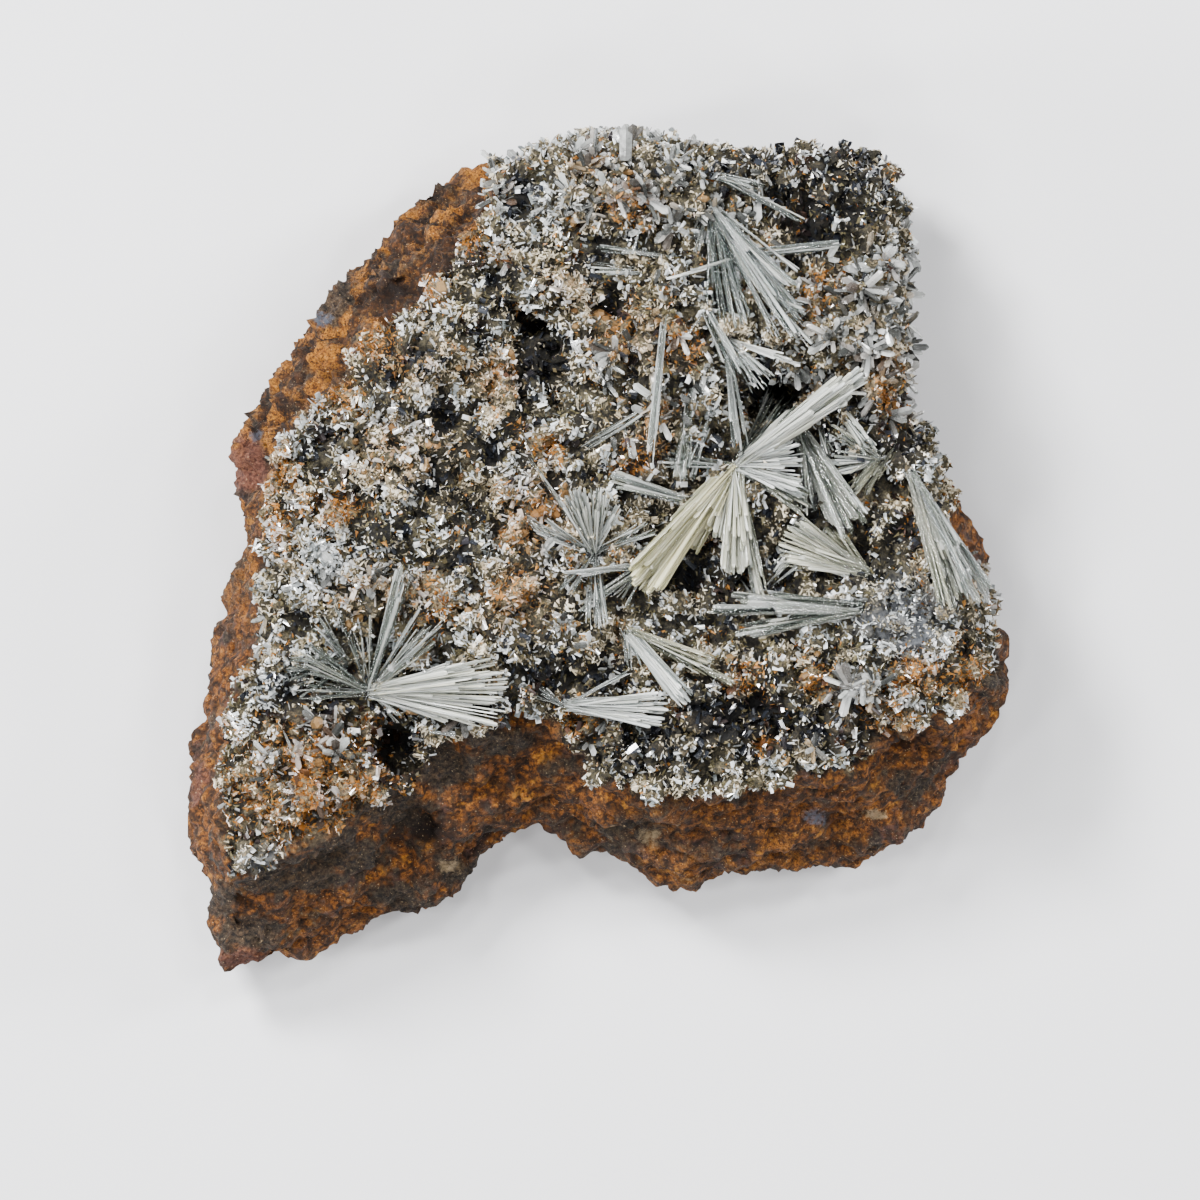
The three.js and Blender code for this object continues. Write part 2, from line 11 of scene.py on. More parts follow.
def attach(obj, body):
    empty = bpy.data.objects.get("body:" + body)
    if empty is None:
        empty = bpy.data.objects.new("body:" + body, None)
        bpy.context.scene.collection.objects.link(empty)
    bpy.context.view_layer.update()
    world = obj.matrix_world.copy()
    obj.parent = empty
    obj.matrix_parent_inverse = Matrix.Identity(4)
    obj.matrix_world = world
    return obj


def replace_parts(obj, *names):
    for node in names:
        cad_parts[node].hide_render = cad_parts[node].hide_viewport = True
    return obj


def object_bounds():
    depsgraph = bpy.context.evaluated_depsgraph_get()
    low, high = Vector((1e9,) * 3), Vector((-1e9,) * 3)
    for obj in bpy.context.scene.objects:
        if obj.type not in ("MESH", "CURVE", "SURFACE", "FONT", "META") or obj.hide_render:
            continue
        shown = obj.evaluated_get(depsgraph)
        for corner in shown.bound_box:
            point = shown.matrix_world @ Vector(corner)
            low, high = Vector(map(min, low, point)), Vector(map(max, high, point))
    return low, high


MM = 0.001

# The view from straight above, as wide at the level of the face as in the photograph
FRAME_WIDTH = 118 * MM
FRAME_CENTRE = (0.0, -5.2 * MM)
FACE_LEVEL = 25 * MM
CAMERA_HEIGHT = 2.4
CAMERA_REACH = 10
SENSOR_WIDTH = 36.0

# Soft lamps in metres: place, width, length, watts
SOFTBOXES = {
    "key": ((-0.38, 0.42, 0.62), 0.2, 0.2, 10.6),
    "right_strip": ((0.55, 0.25, 0.45), 0.1, 0.3, 3.0),
    "left_strip": ((-0.6, -0.1, 0.35), 0.08, 0.3, 2.5),
    "front": ((0.1, -0.65, 0.45), 0.3, 0.15, 1.6),
}
SKY_COLOUR = (0.9, 0.95, 1.0, 1.0)
SKY_STRENGTH = 0.14
FLOOR_SIZE = 4

# Small lamps high round the specimen, for glints on the crystals
GLINT_BEARINGS = (15, 75, 130, 190, 250, 310)
GLINT_REACH = 0.32
GLINT_HEIGHT = 0.75
GLINT_SIZE = 0.1
GLINT_WATTS = 1.1

# How finely the rock's skin is broken up, and how near its corners are to be merged
ROCK_VOXEL = 0.46 * MM
MERGE_DISTANCE = 0.001 * MM

# Relief of the rock: size and height of each kind. Hollows go inwards
FACE_KNOBS = (3.3 * MM, 1.9 * MM)
FACE_GRAINS = (1.3 * MM, 0.6 * MM)
RIND_KNOBS = (5.2 * MM, 0.9 * MM)
RIND_GRIT = (1.2 * MM, 0.7 * MM)
FLANK_WEAR = (5.5 * MM, 1.5 * MM)
FLANK_GRIT = (1.1 * MM, 0.5 * MM)
STRATA = (8.0 * MM, 0.8 * MM)
STRATA_STRETCH = 4.0
HOLLOWS = (5.0 * MM, 1.0 * MM)

# How the knobs part, and how far each area lies under the solid's skin
KNOB_EDGE = 0.5
KNOB_WANDER = 0.45
FACE_SINK = 1.1 * MM
FLANK_SINK = 0.1 * MM
RIND_SINK = 0.7 * MM
DARK_SINK = 1.0 * MM

# The crystal face: size and height of the waves in its rim, the distances inside the rim at which it
# begins and is full, how low it reaches, and how far it grows over the rim and down the side
RIM_WOBBLE = (2.5 * MM, 0.9 * MM)
RIM_EDGE = (-0.3 * MM, 0.5 * MM)
LOWEST_FACE = 12 * MM
OVERGROWTH = 4 * MM
OVERGROWN_DROP = 9 * MM

# All of the skin that is lower than this is pressed flat, for the back to rest on
BACK_LEVEL = 0.7 * MM

# Patterns in the rock's colours: bands that run along the lower edge, and sizes of spots
BAND_STRETCH = 4.0
BAND_BEARING = math.radians(26)
CRUMB_SIZE = 0.8 * MM
STAIN_SIZE = 3.0 * MM
BREAK_SIZE = 4.0 * MM
WARMTH_SIZE = 3.2 * MM
DRIFT_SIZE = 1.5 * MM

# Where in the noise each pattern is read, so that no two match
NOISE_PLACES = {
    "crest": 4.0, "warmth": 5.0, "face_grains": 9.0, "wobble": 11.0, "knob": 15.0, "flank_wear": 19.0,
    "strata": 23.0, "stain": 31.0, "flank_grit": 41.0, "hollow": 53.0, "rind_grit": 61.0, "broken": 67.0,
    "drift": 77.0,
}

# The rim of the crystal face in millimetres, clockwise from the top left
RIM = [
    (-10.8, 37.6), (-6.4, 37.8), (-3.7, 39.2), (2.4, 40.0), (7.5, 37.6), (15.8, 38.0), (24.9, 39.2),
    (26.8, 36.6), (27.8, 33.0), (28.8, 27.0), (28.9, 20.0), (28.6, 15.0), (30.6, 11.0), (32.4, 6.5),
    (35.2, 2.0), (35.4, -3.0), (37.4, -8.0), (38.8, -12.2), (34.1, -16.5), (31.2, -17.4),
    (28.3, -18.8), (25.3, -20.9), (22.4, -22.6), (15.1, -24.1), (7.2, -24.8), (2.8, -24.1),
    (-0.2, -22.9), (-2.6, -20.4), (-5.0, -17.4), (-7.4, -16.2), (-9.9, -17.0), (-13.1, -18.3),
    (-16.4, -19.4), (-20.0, -23.6), (-22.4, -26.0), (-25.9, -28.0), (-29.2, -29.3), (-33.2, -32.3),
    (-36.5, -33.1), (-37.8, -28.0), (-37.8, -20.2), (-36.8, -15.2), (-34.4, -10.2), (-33.8, -5.2),
    (-33.6, 2.0), (-31.6, 9.4), (-29.1, 14.0), (-25.6, 16.4), (-23.8, 20.7), (-19.2, 24.2),
    (-15.6, 27.6), (-12.6, 30.8), (-11.4, 34.1),
]

# Patches in millimetres: x, y, half width, half height, strength
PATCHES = {
    "rust": [
        (-28.0, -24.0, 8.0, 6.0, 1.0), (-17.0, -5.2, 2.6, 2.4, 0.7), (3.0, 33.8, 2.4, 2.2, 0.9),
        (-1.0, 38.0, 2.0, 1.5, 0.7), (8.0, 19.8, 2.4, 2.0, 0.9), (4.0, 8.8, 2.2, 2.0, 0.9),
        (-5.4, 9.7, 1.8, 1.6, 0.8), (-5.2, 4.0, 1.8, 1.8, 0.8), (-8.0, 1.4, 2.0, 1.6, 0.8),
        (-8.5, -4.4, 2.2, 1.8, 0.8), (-1.6, -17.4, 2.4, 1.6, 0.9), (13.9, -13.1, 2.0, 1.6, 0.9),
        (21.7, -13.5, 2.0, 1.6, 0.9), (31.7, -12.3, 2.8, 2.2, 1.0), (36.5, -12.9, 2.6, 2.4, 1.0),
        (16.3, -19.4, 1.2, 0.9, 1.0), (28.5, -16.5, 3.0, 1.6, 0.9), (28.5, 15.5, 1.8, 4.0, 0.6),
        (22.0, 25.0, 2.4, 3.0, 0.5), (-31.6, 5.0, 2.0, 5.0, 0.7), (-26.8, 3.9, 2.6, 2.0, 0.8),
        (-26.6, 14.8, 3.4, 2.4, 0.7), (-22.6, 20.6, 2.6, 2.6, 0.8), (-17.6, 25.4, 2.6, 2.0, 0.8),
        (-13.0, 30.8, 1.8, 2.4, 0.8), (-10.2, 16.6, 2.4, 1.8, 0.5), (2.3, 20.6, 2.6, 2.2, 0.5),
    ],
    "warm": [
        (-19.2, 9.7, 5.0, 3.6, 1.0), (-17.9, 18.2, 4.0, 2.8, 1.0), (-10.2, 16.6, 3.0, 2.6, 1.0),
        (-6.5, 3.0, 4.0, 5.0, 1.0), (-8.0, -5.0, 4.0, 4.4, 1.0), (-22.0, -5.0, 5.0, 3.0, 0.8),
        (2.3, 20.0, 4.6, 3.4, 0.8), (4.0, 12.0, 3.4, 4.0, 0.8), (-3.0, 25.5, 3.0, 2.4, 0.7),
        (2.0, 34.5, 5.0, 3.0, 0.7), (26.0, 18.0, 3.0, 4.0, 0.7),
    ],
    # Dark patches: partly real dark crust, partly painted shade in the recesses. They also sink the rock
    # and thin out the pale crystals
    "dark": [
        (-5.6, 18.6, 3.0, 4.4, 1.0), (-7.7, 34.1, 1.8, 3.4, 1.0), (20.8, 31.8, 3.4, 4.0, 1.0),
        (16.1, 16.1, 3.0, 3.0, 1.0), (-20.4, -19.2, 3.0, 3.4, 1.0), (0.8, -12.6, 2.6, 2.2, 0.9),
        (11.2, -16.9, 4.4, 3.2, 1.0), (16.0, -16.0, 3.6, 2.8, 1.0), (24.9, 39.0, 3.2, 2.2, 0.9),
        (14.1, 37.7, 4.4, 2.2, 0.8), (29.7, 10.0, 2.6, 2.6, 0.9), (-27.5, 10.8, 2.4, 2.0, 0.8),
        (-15.8, 7.3, 2.2, 2.0, 0.8), (-15.2, 13.2, 2.2, 2.0, 0.8), (6.0, 19.8, 1.4, 1.4, 0.8),
        (9.0, -2.5, 2.8, 2.4, 0.9), (-21.0, 1.3, 2.0, 1.6, 0.8), (20.0, -18.0, 9.0, 2.8, 0.8),
        (5.0, -19.2, 4.4, 3.0, 0.8), (26.1, -2.6, 2.0, 1.6, 0.8), (28.0, 11.0, 3.0, 3.6, 0.7),
        (21.0, 7.0, 6.0, 6.0, 0.75), (13.0, -3.0, 6.0, 5.0, 0.7), (-28.0, -12.8, 6.0, 1.8, 0.7),
        (22.0, 0.0, 5.0, 3.0, 0.6), (5.0, 6.0, 3.0, 2.4, 0.6), (30.0, 1.5, 1.6, 3.0, 0.7),
        (-1.0, 28.5, 2.0, 2.4, 0.7), (-12.2, 20.6, 2.0, 2.4, 0.7), (-4.8, -12.6, 3.6, 2.0, 0.8),
        (-29.0, -14.6, 5.0, 3.2, 0.8), (-13.0, -15.6, 4.0, 1.6, 0.7), (-16.8, -28.0, 2.0, 1.5, 1.0),
        (-20.2, -28.4, 1.0, 0.9, 0.8), (-9.6, 26.4, 2.4, 2.0, 0.7),
        (-13.8, 4.4, 2.0, 1.6, 0.8), (-10.4, 8.8, 1.6, 2.6, 0.8), (-18.4, 19.2, 2.6, 1.2, 0.7),
        (0.6, 24.4, 1.8, 1.6, 0.7), (-24.6, 5.6, 2.2, 1.2, 0.7), (-6.0, -9.4, 2.2, 1.4, 0.7),
        (-14.0, 28.0, 2.8, 1.5, 0.8), (-9.2, 23.2, 1.8, 1.6, 0.8), (-25.6, 17.0, 2.8, 1.2, 0.6),
        (-19.7, 25.3, 2.6, 0.9, 0.9), (23.5, 36.0, 6.5, 5.5, 0.8), (-14.0, -1.4, 1.8, 2.4, 0.6),
        (12.0, 24.6, 1.6, 1.4, 0.7), (16.6, 36.0, 3.0, 2.0, 0.6), (-17.6, 5.8, 1.4, 2.0, 0.6),
    ],
    "silvery": [
        (-25.0, -1.0, 8.0, 5.0, 0.9), (-27.3, 9.7, 2.6, 2.4, 1.0), (-21.7, 13.6, 2.6, 2.4, 0.9),
        (-6.9, 32.7, 2.6, 2.4, 0.9), (-7.7, 7.7, 2.6, 2.0, 0.8), (-32.0, -14.0, 3.0, 4.0, 0.6),
        (-18.5, 22.0, 2.0, 1.6, 0.6), (-30.0, 4.0, 2.0, 5.0, 0.6), (13.0, -12.0, 3.0, 2.0, 0.5),
    ],
    "powder": [
        (30.2, -6.9, 4.6, 3.9, 1.0), (24.4, -13.8, 2.0, 1.4, 0.9), (-33.4, -30.6, 2.4, 1.6, 0.45),
    ],
    "frosted": [
        (4.0, 34.8, 9.5, 5.0, 0.9), (26.0, 23.3, 5.0, 9.0, 1.0), (6.0, 17.0, 6.5, 9.0, 0.5),
        (21.5, 17.3, 4.0, 3.5, 0.9), (-24.0, -3.2, 10.0, 5.5, 0.25), (-29.0, -22.0, 6.0, 6.0, 0.25),
        (-0.5, -17.0, 3.0, 4.0, 0.6), (-10.2, 34.5, 1.2, 4.0, 0.9), (25.0, -13.5, 2.6, 1.6, 0.8),
    ],
    "maroon": [
        (-35.2, 8.0, 2.6, 3.6, 1.0), (-39.4, -24.0, 1.4, 5.0, 0.7), (-35.5, -40.6, 3.6, 1.4, 0.8),
        (36.5, -19.0, 1.2, 2.4, 0.5),
    ],
    "rind": [
        (-32.0, 12.5, 6.0, 6.0, 1.0), (-27.5, 19.0, 6.5, 6.5, 1.0), (-22.0, 26.0, 6.5, 6.5, 1.0),
        (-16.0, 32.0, 6.0, 6.0, 1.0), (-12.5, 36.5, 4.0, 4.0, 0.9), (-36.0, 2.0, 3.0, 8.0, 0.5),
        (11.0, -30.0, 17.0, 4.5, 0.4),
    ],
    "slate": [
        (-31.0, -32.5, 4.5, 1.9, 0.9), (-25.5, -29.9, 4.0, 1.9, 0.9), (-20.5, -25.6, 3.6, 2.0, 0.9),
        (-15.5, -21.8, 3.6, 1.9, 0.9), (-9.5, -19.0, 3.4, 1.9, 0.9), (-13.0, -32.4, 4.0, 1.3, 0.7),
        (-20.0, -34.4, 4.0, 1.3, 0.6), (-34.5, -38.0, 3.4, 2.0, 0.9), (-37.0, -35.0, 2.0, 2.2, 0.7),
        (3.0, -28.0, 4.0, 1.8, 0.5), (-4.0, -21.5, 2.4, 1.2, 0.6),
        (37.5, -12.0, 2.4, 3.4, 0.6), (30.0, -23.0, 3.0, 2.0, 0.4), (-26.5, 24.5, 2.0, 2.6, 0.7),
    ],
    "blue": [(-27.5, 22.6, 1.5, 1.2, 1.0), (-34.0, 11.0, 1.2, 1.0, 0.9), (21.2, -26.6, 1.8, 1.2, 1.0)],
    "white": [
        (9.2, -28.0, 2.6, 1.5, 1.0), (1.2, -28.3, 0.7, 1.0, 1.1), (4.8, -28.6, 1.8, 1.3, 0.9),
        (27.2, -26.4, 2.0, 0.8, 0.9), (-14.5, -31.5, 2.6, 1.4, 0.8), (9.0, -32.4, 2.0, 1.0, 0.8),
    ],
}
BROKEN_PATCHES = ("blue", "white", "maroon")

# Where the crystals grow over the rim and down the side, written as patches
OVERGROWN = [
    (-4.0, 40.0, 4.0, 3.0, 1.0), (4.0, 40.5, 6.0, 4.0, 1.0), (14.0, 39.5, 9.0, 4.0, 1.0),
    (23.0, 40.0, 6.0, 4.0, 1.0), (28.5, 35.0, 4.0, 7.0, 1.0), (30.0, 27.0, 4.0, 8.0, 1.0),
    (30.5, 18.0, 4.0, 8.0, 1.0), (32.0, 9.0, 4.0, 6.0, 0.9), (37.5, -6.0, 3.0, 5.0, 0.8),
]

# Needle sprays in millimetres. Each limb: bearing from +X in degrees, length, half spread in degrees,
# width of a lath, laths, height of the tips above the face, share of silky laths, share of yellow
SPRAYS = {
    "scholzite_lower_left_spray": ((-22.7, -14.2), [
        (-1, 13.8, 17, 0.27, 120, 3.6, 1.0, 0.2),
        (3, 11.0, 13, 0.6, 26, 3.0, 1.0, 0.3),
        (2, 13.8, 3, 0.5, 8, 3.4, 1.0, 0.3),
        (-2, 9.0, 22, 0.31, 50, 2.8, 1.0, 0.1),
        (74, 13.0, 4, 0.3, 20, 3.4, 0.3, 0.1),
        (50, 11.0, 10, 0.24, 12, 3.4, 0.5, 0.0),
        (100, 8.0, 14, 0.22, 14, 2.6, 0.2, 0.0),
        (111, 15.0, 1, 0.2, 4, 2.8, 0.3, 0.0),
        (42, 9.4, 8, 0.21, 17, 2.6, 0.3, 0.2),
        (165, 8.0, 26, 0.2, 49, 2.4, 0.2, 0.2),
        (-38, 4.4, 14, 0.26, 11, 1.6, 0.7, 0.0),
    ]),
    "scholzite_middle_fan": ((-3.6, -15.6), [
        (-3, 10.4, 11, 0.31, 65, 3.2, 0.95, 0.0),
        (27, 7.4, 3, 0.21, 6, 3.0, 0.5, 0.0),
        (150, 3.0, 20, 0.21, 10, 1.4, 0.4, 0.0),
    ]),
    "scholzite_lower_centre_fan": ((2.6, -8.2), [
        (-50, 9.6, 7, 0.31, 42, 2.6, 1.0, 0.0),
        (-50, 9.0, 5, 0.9, 6, 2.4, 1.0, 0.0),
        (-24, 9.4, 8, 0.29, 34, 1.6, 0.4, 0.5),
        (-80, 4.0, 14, 0.23, 15, 1.4, 0.5, 0.0),
    ]),
    "scholzite_centre_left_burst": ((-0.6, -0.6), [
        (98, 6.8, 26, 0.26, 80, 3.2, 0.75, 0.1),
        (124, 12.0, 1, 0.2, 6, 2.0, 0.3, 0.1),
        (62, 5.4, 6, 0.42, 8, 3.6, 0.8, 0.0),
        (156, 6.4, 14, 0.24, 23, 1.6, 0.5, 0.0),
        (26, 6.6, 12, 0.2, 15, 2.6, 0.4, 0.0),
        (-88, 7.6, 10, 0.21, 23, 1.6, 0.4, 0.0),
        (-130, 5.0, 14, 0.21, 15, 1.2, 0.4, 0.0),
    ]),
    "scholzite_crossing_bars": ((4.6, -1.6), [
        (188, 8.6, 3, 0.38, 11, 3.0, 0.6, 0.0),
        (214, 8.2, 5, 0.31, 19, 1.6, 0.5, 0.1),
        (232, 5.0, 14, 0.21, 15, 1.4, 0.4, 0.1),
    ]),
    "scholzite_great_spray": ((13.4, 8.0), [
        (232, 15.2, 8, 0.3, 70, 3.2, 1.0, 0.8),
        (231, 15.6, 8, 0.66, 150, 3.8, 1.0, 0.9),
        (233, 10.4, 13, 0.8, 36, 3.2, 1.0, 0.8),
        (235, 7.8, 20, 0.6, 40, 2.6, 1.0, 0.7),
        (271, 10.8, 9, 0.3, 50, 3.6, 1.0, 0.3),
        (269, 10.8, 8, 0.6, 100, 4.0, 1.0, 0.4),
        (267, 8.0, 15, 0.7, 30, 3.2, 1.0, 0.4),
        (281, 14.4, 4, 0.34, 23, 1.8, 0.4, 0.3),
        (36, 14.2, 6, 0.34, 96, 4.2, 1.0, 0.2),
        (37, 10.6, 8, 0.9, 16, 3.8, 1.0, 0.3),
        (56, 9.4, 12, 0.2, 34, 3.6, 0.1, 0.1),
        (4, 6.8, 36, 0.28, 90, 4.2, 1.0, 0.0),
        (-19, 7.6, 7, 0.4, 26, 3.0, 0.9, 0.0),
        (-30, 8.6, 10, 0.29, 30, 2.4, 0.4, 0.3),
        (176, 7.4, 8, 0.23, 19, 2.4, 0.4, 0.0),
    ]),
    "scholzite_left_arm": ((8.6, 4.6), [(164, 8.2, 6, 0.34, 23, 3.0, 0.6, 0.1)]),
    "scholzite_right_long_prisms": ((19.8, 11.4), [
        (-55, 11.2, 4, 0.42, 23, 3.0, 0.3, 0.2),
        (-56, 10.4, 3, 1.2, 4, 2.8, 0.4, 0.2),
        (-66, 11.8, 4, 0.39, 23, 2.6, 0.3, 0.2),
        (-68, 10.8, 3, 1.0, 4, 2.4, 0.3, 0.3),
        (-84, 8.4, 7, 0.29, 15, 2.4, 0.3, 0.1),
    ]),
    "scholzite_right_low_fan": ((26.4, -2.6), [
        (157, 9.4, 18, 0.31, 87, 3.2, 0.6, 0.4),
        (155, 8.6, 16, 0.9, 10, 2.4, 0.5, 0.4),
        (140, 6.4, 20, 0.26, 30, 2.0, 0.4, 0.5),
    ]),
    "scholzite_right_small_fan": ((27.6, 8.6), [
        (186, 5.2, 18, 0.26, 27, 2.2, 0.7, 0.1),
        (226, 5.4, 10, 0.26, 17, 2.0, 0.4, 0.4),
        (146, 6.2, 8, 0.26, 15, 2.2, 0.4, 0.3),
    ]),
    "scholzite_glassy_bars": ((26.0, -6.0), [
        (176, 12.0, 6, 0.8, 10, 2.2, 0.15, 0.1),
        (174, 13.2, 3, 0.5, 30, 2.4, 0.25, 0.1),
        (181, 15.6, 2, 0.42, 19, 1.8, 0.25, 0.1),
        (191, 13.0, 4, 0.42, 27, 1.6, 0.25, 0.2),
    ]),
    "scholzite_far_right_fan": ((30.6, 7.4), [
        (-60, 14.8, 6, 0.34, 76, 2.6, 0.45, 0.1),
        (-64, 12.0, 8, 0.7, 16, 2.2, 0.4, 0.1),
        (-73, 14.2, 6, 0.36, 49, 2.4, 0.35, 0.4),
    ]),
    "scholzite_top_spray": ((10.8, 33.6), [
        (-57, 15.4, 9, 0.3, 40, 3.0, 0.1, 0.0),
        (-60, 10.0, 14, 0.9, 6, 2.0, 0.0, 0.0),
        (-55, 15.6, 3, 0.36, 6, 4.0, 1.0, 0.0),
        (-43, 11.8, 8, 0.3, 18, 3.6, 0.6, 0.0),
        (-80, 12.4, 13, 0.27, 30, 2.6, 0.2, 0.0),
        (-100, 5.0, 20, 0.21, 15, 1.6, 0.3, 0.0),
    ]),
    "scholzite_top_cross_needles": ((14.8, 28.9), [
        (197, 8.8, 1, 0.29, 6, 5.0, 0.9, 0.0),
        (5, 9.4, 3, 0.29, 13, 4.0, 0.3, 0.0),
        (-38, 5.4, 5, 0.29, 10, 3.0, 0.8, 0.0),
    ]),
    "scholzite_top_long_needle": ((11.6, 36.4), [
        (-27, 9.8, 2, 0.34, 8, 3.4, 0.3, 0.0),
        (-15, 4.8, 10, 0.23, 10, 2.4, 0.4, 0.0),
    ]),
    "scholzite_top_left_needle": ((6.8, 28.6), [(173, 7.4, 3, 0.31, 11, 2.0, 0.3, 0.0)]),
    "scholzite_hanging_needles": ((12.4, 20.4), [
        (-82, 11.2, 5, 0.29, 23, 2.6, 0.4, 0.0),
        (-18, 8.0, 4, 0.28, 11, 3.0, 0.8, 0.0),
        (-50, 6.4, 14, 0.2, 23, 2.0, 0.3, 0.0),
    ]),
    "scholzite_left_column": ((6.3, 22.6), [(-95, 14.6, 2, 0.36, 13, 2.6, 0.45, 0.0)]),
    "scholzite_column_partner": ((9.0, 15.6), [(-97, 9.4, 6, 0.29, 15, 2.0, 0.25, 0.1)]),
    "scholzite_left_stray": ((-1.6, 9.8), [(30, 6.6, 4, 0.24, 10, 2.2, 0.4, 0.0)]),
    "scholzite_lower_stray": ((8.2, -10.8), [(-29, 5.8, 5, 0.34, 13, 1.8, 0.3, 0.5)]),
}

# Smaller bundles of laths that grow between the sprays, in the same measures
LOOSE_BUNDLES = {
    "laths_great_spray_tip": ((21.2, 13.4), [
        (38, 6.4, 9, 0.5, 26, 3.4, 1.0, 0.1),
        (30, 3.4, 16, 1.0, 8, 3.6, 1.0, 0.1),
    ]),
    "laths_above_right_fan": ((23.6, 13.8), [(-54, 5.8, 9, 0.34, 16, 2.6, 0.6, 0.1)]),
    "laths_beside_right_fan": ((21.6, 12.0), [(-72, 3.2, 12, 0.3, 8, 2.6, 0.4, 0.1)]),
    "laths_right_notch": ((29.2, 10.4), [(228, 6.4, 16, 0.3, 16, 2.0, 0.3, 0.5)]),
    "laths_below_great_spray": ((16.4, -3.4), [(50, 4.0, 12, 0.3, 8, 1.8, 0.6, 0.1)]),
    "laths_left_of_burst": ((-8.0, 3.6), [(-40, 5.0, 10, 0.24, 10, 1.8, 0.4, 0.0)]),
    "laths_top_right": ((16.0, 25.0), [
        (-52, 7.4, 8, 0.3, 16, 2.6, 0.5, 0.0),
        (-20, 5.0, 8, 0.28, 10, 2.6, 0.7, 0.0),
    ]),
    "laths_under_top_spray": ((10.0, 24.0), [(-64, 8.0, 9, 0.28, 18, 2.2, 0.3, 0.0)]),
    "laths_upper_middle": ((4.2, 27.0), [(176, 5.2, 8, 0.28, 10, 1.8, 0.3, 0.0)]),
    "laths_left_of_column": ((10.6, 12.4), [(-108, 7.0, 6, 0.3, 12, 1.8, 0.4, 0.0)]),
    "laths_lower_left_back": ((-24.6, -11.4), [
        (196, 6.4, 22, 0.22, 30, 1.8, 0.2, 0.1),
        (128, 6.0, 10, 0.22, 12, 2.0, 0.3, 0.0),
    ]),
}

# Clusters of larger blades in millimetres: x, y, longest blade, blades
BLADE_CLUSTERS = {
    "phosphophyllite_crest": (-0.6, 38.2, 3.2, 12),
    "phosphophyllite_upper_left": (-10.0, 34.6, 3.0, 9),
    "phosphophyllite_crown": (4.6, 34.4, 2.8, 12),
    "phosphophyllite_top_middle": (7.2, 31.6, 2.8, 10),
    "phosphophyllite_right_shoulder": (25.8, 25.2, 3.4, 14),
    "phosphophyllite_right_rim": (26.6, 19.4, 3.0, 12),
    "phosphophyllite_right_notch": (22.8, 20.6, 2.8, 12),
    "phosphophyllite_right_low": (28.4, 13.0, 3.0, 9),
    "phosphophyllite_middle": (1.4, 19.2, 3.2, 9),
    "phosphophyllite_left": (-24.8, 9.2, 2.8, 9),
    "phosphophyllite_nest_edge": (1.0, -12.0, 2.6, 9),
    "phosphophyllite_lower_left": (-26.0, -20.4, 2.8, 10),
    "phosphophyllite_ledge": (-13.6, -16.6, 2.8, 8),
    "phosphophyllite_lower_right": (24.6, -13.8, 3.0, 10),
}

# The single blade on the top edge in millimetres: foot, length and width, and the way it points
CREST_BLADE = ((2.5, 38.0), 3.6, 1.3)
CREST_DIRECTION = (0.02, 1.0, 0.12)
CREST_RISE = 0.3 * MM

# Short loose prisms in millimetres: one end, the other end, width. The second end lies higher
STRAY_PRISMS = [
    (16.8, -3.9, 19.4, -1.9, 0.36), (13.9, -3.2, 15.9, -6.1, 0.42), (14.6, -3.1, 16.6, -5.7, 0.3),
    (-31.2, -18.0, -30.0, -20.6, 0.5), (-20.0, 3.6, -18.2, 5.0, 0.3), (4.0, 31.6, 3.2, 28.8, 0.34),
    (-16.8, -18.2, -14.2, -18.4, 0.6), (-28.6, -18.6, -27.0, -20.0, 0.4), (2.4, 12.0, 3.0, 8.8, 0.3),
    (18.6, 23.4, 19.4, 20.8, 0.4), (10.0, 22.8, 8.4, 20.6, 0.3), (22.0, 1.6, 23.6, -0.6, 0.3),
    (-14.6, -9.8, -13.4, -12.4, 0.3), (6.4, -14.0, 8.6, -15.2, 0.4), (25.2, 9.6, 26.8, 12.0, 0.3),
]
STRAY_RISES = (0.3 * MM, 0.9 * MM)

# Crystal shapes, one unit long and one wide: sides, thickness, width of the foot, length of the sloping
# end, and the width and thickness of its tip
CRYSTAL_SHAPES = {
    "flake": (4, 0.35, 0.8, 0, 0.75, 0.6),
    "nugget": (6, 0.8, 0.6, 0.3, 0.5, 0.5),
    "blade": (4, 0.45, 0.9, 0.16, 0.3, 0.6),
    "lath": (5, 0.55, 0.35, 0.04, 0.6, 0.4),
}
SPIKE_THICKNESS = 0.55
SPIKE_LEAN = 0.25

# Small crystals of the face: shape, how many, shortest and longest in millimetres, width for a length
# of one
GRAINS = {
    "tan": ("nugget", 110, 0.8, 1.6, 0.8),
    "cream": ("spike", 28000, 0.3, 0.8, 0.75),
    "silver": ("flake", 16000, 0.35, 1.15, 0.55),
    "amber": ("spike", 12000, 0.3, 0.8, 0.8),
    "smoky": ("spike", 22000, 0.3, 0.9, 0.8),
    "dark": ("flake", 5000, 0.4, 1.3, 0.8),
}
GRAIN_LEAN = 0.8
GRAIN_SUNK = 0.35
GRAIN_WIDTHS = (0.7, 1.3)

# Small frosted blades in rosettes, and the blades of the larger clusters
PICKET_ROSETTES = 520
PICKETS_EACH = 5
PICKET_LENGTHS = (0.6 * MM, 2.1 * MM)
PICKET_WIDTH = 0.34
PICKET_WIDTHS = (0.75, 1.3)
PICKET_SCATTER = 0.2 * MM
PICKET_SUNK = 0.25 * MM
CLUSTER_BLADE_WIDTH = 0.34
CLUSTER_LENGTHS = (0.35, 0.9)
CLUSTER_SCATTER = 0.3 * MM

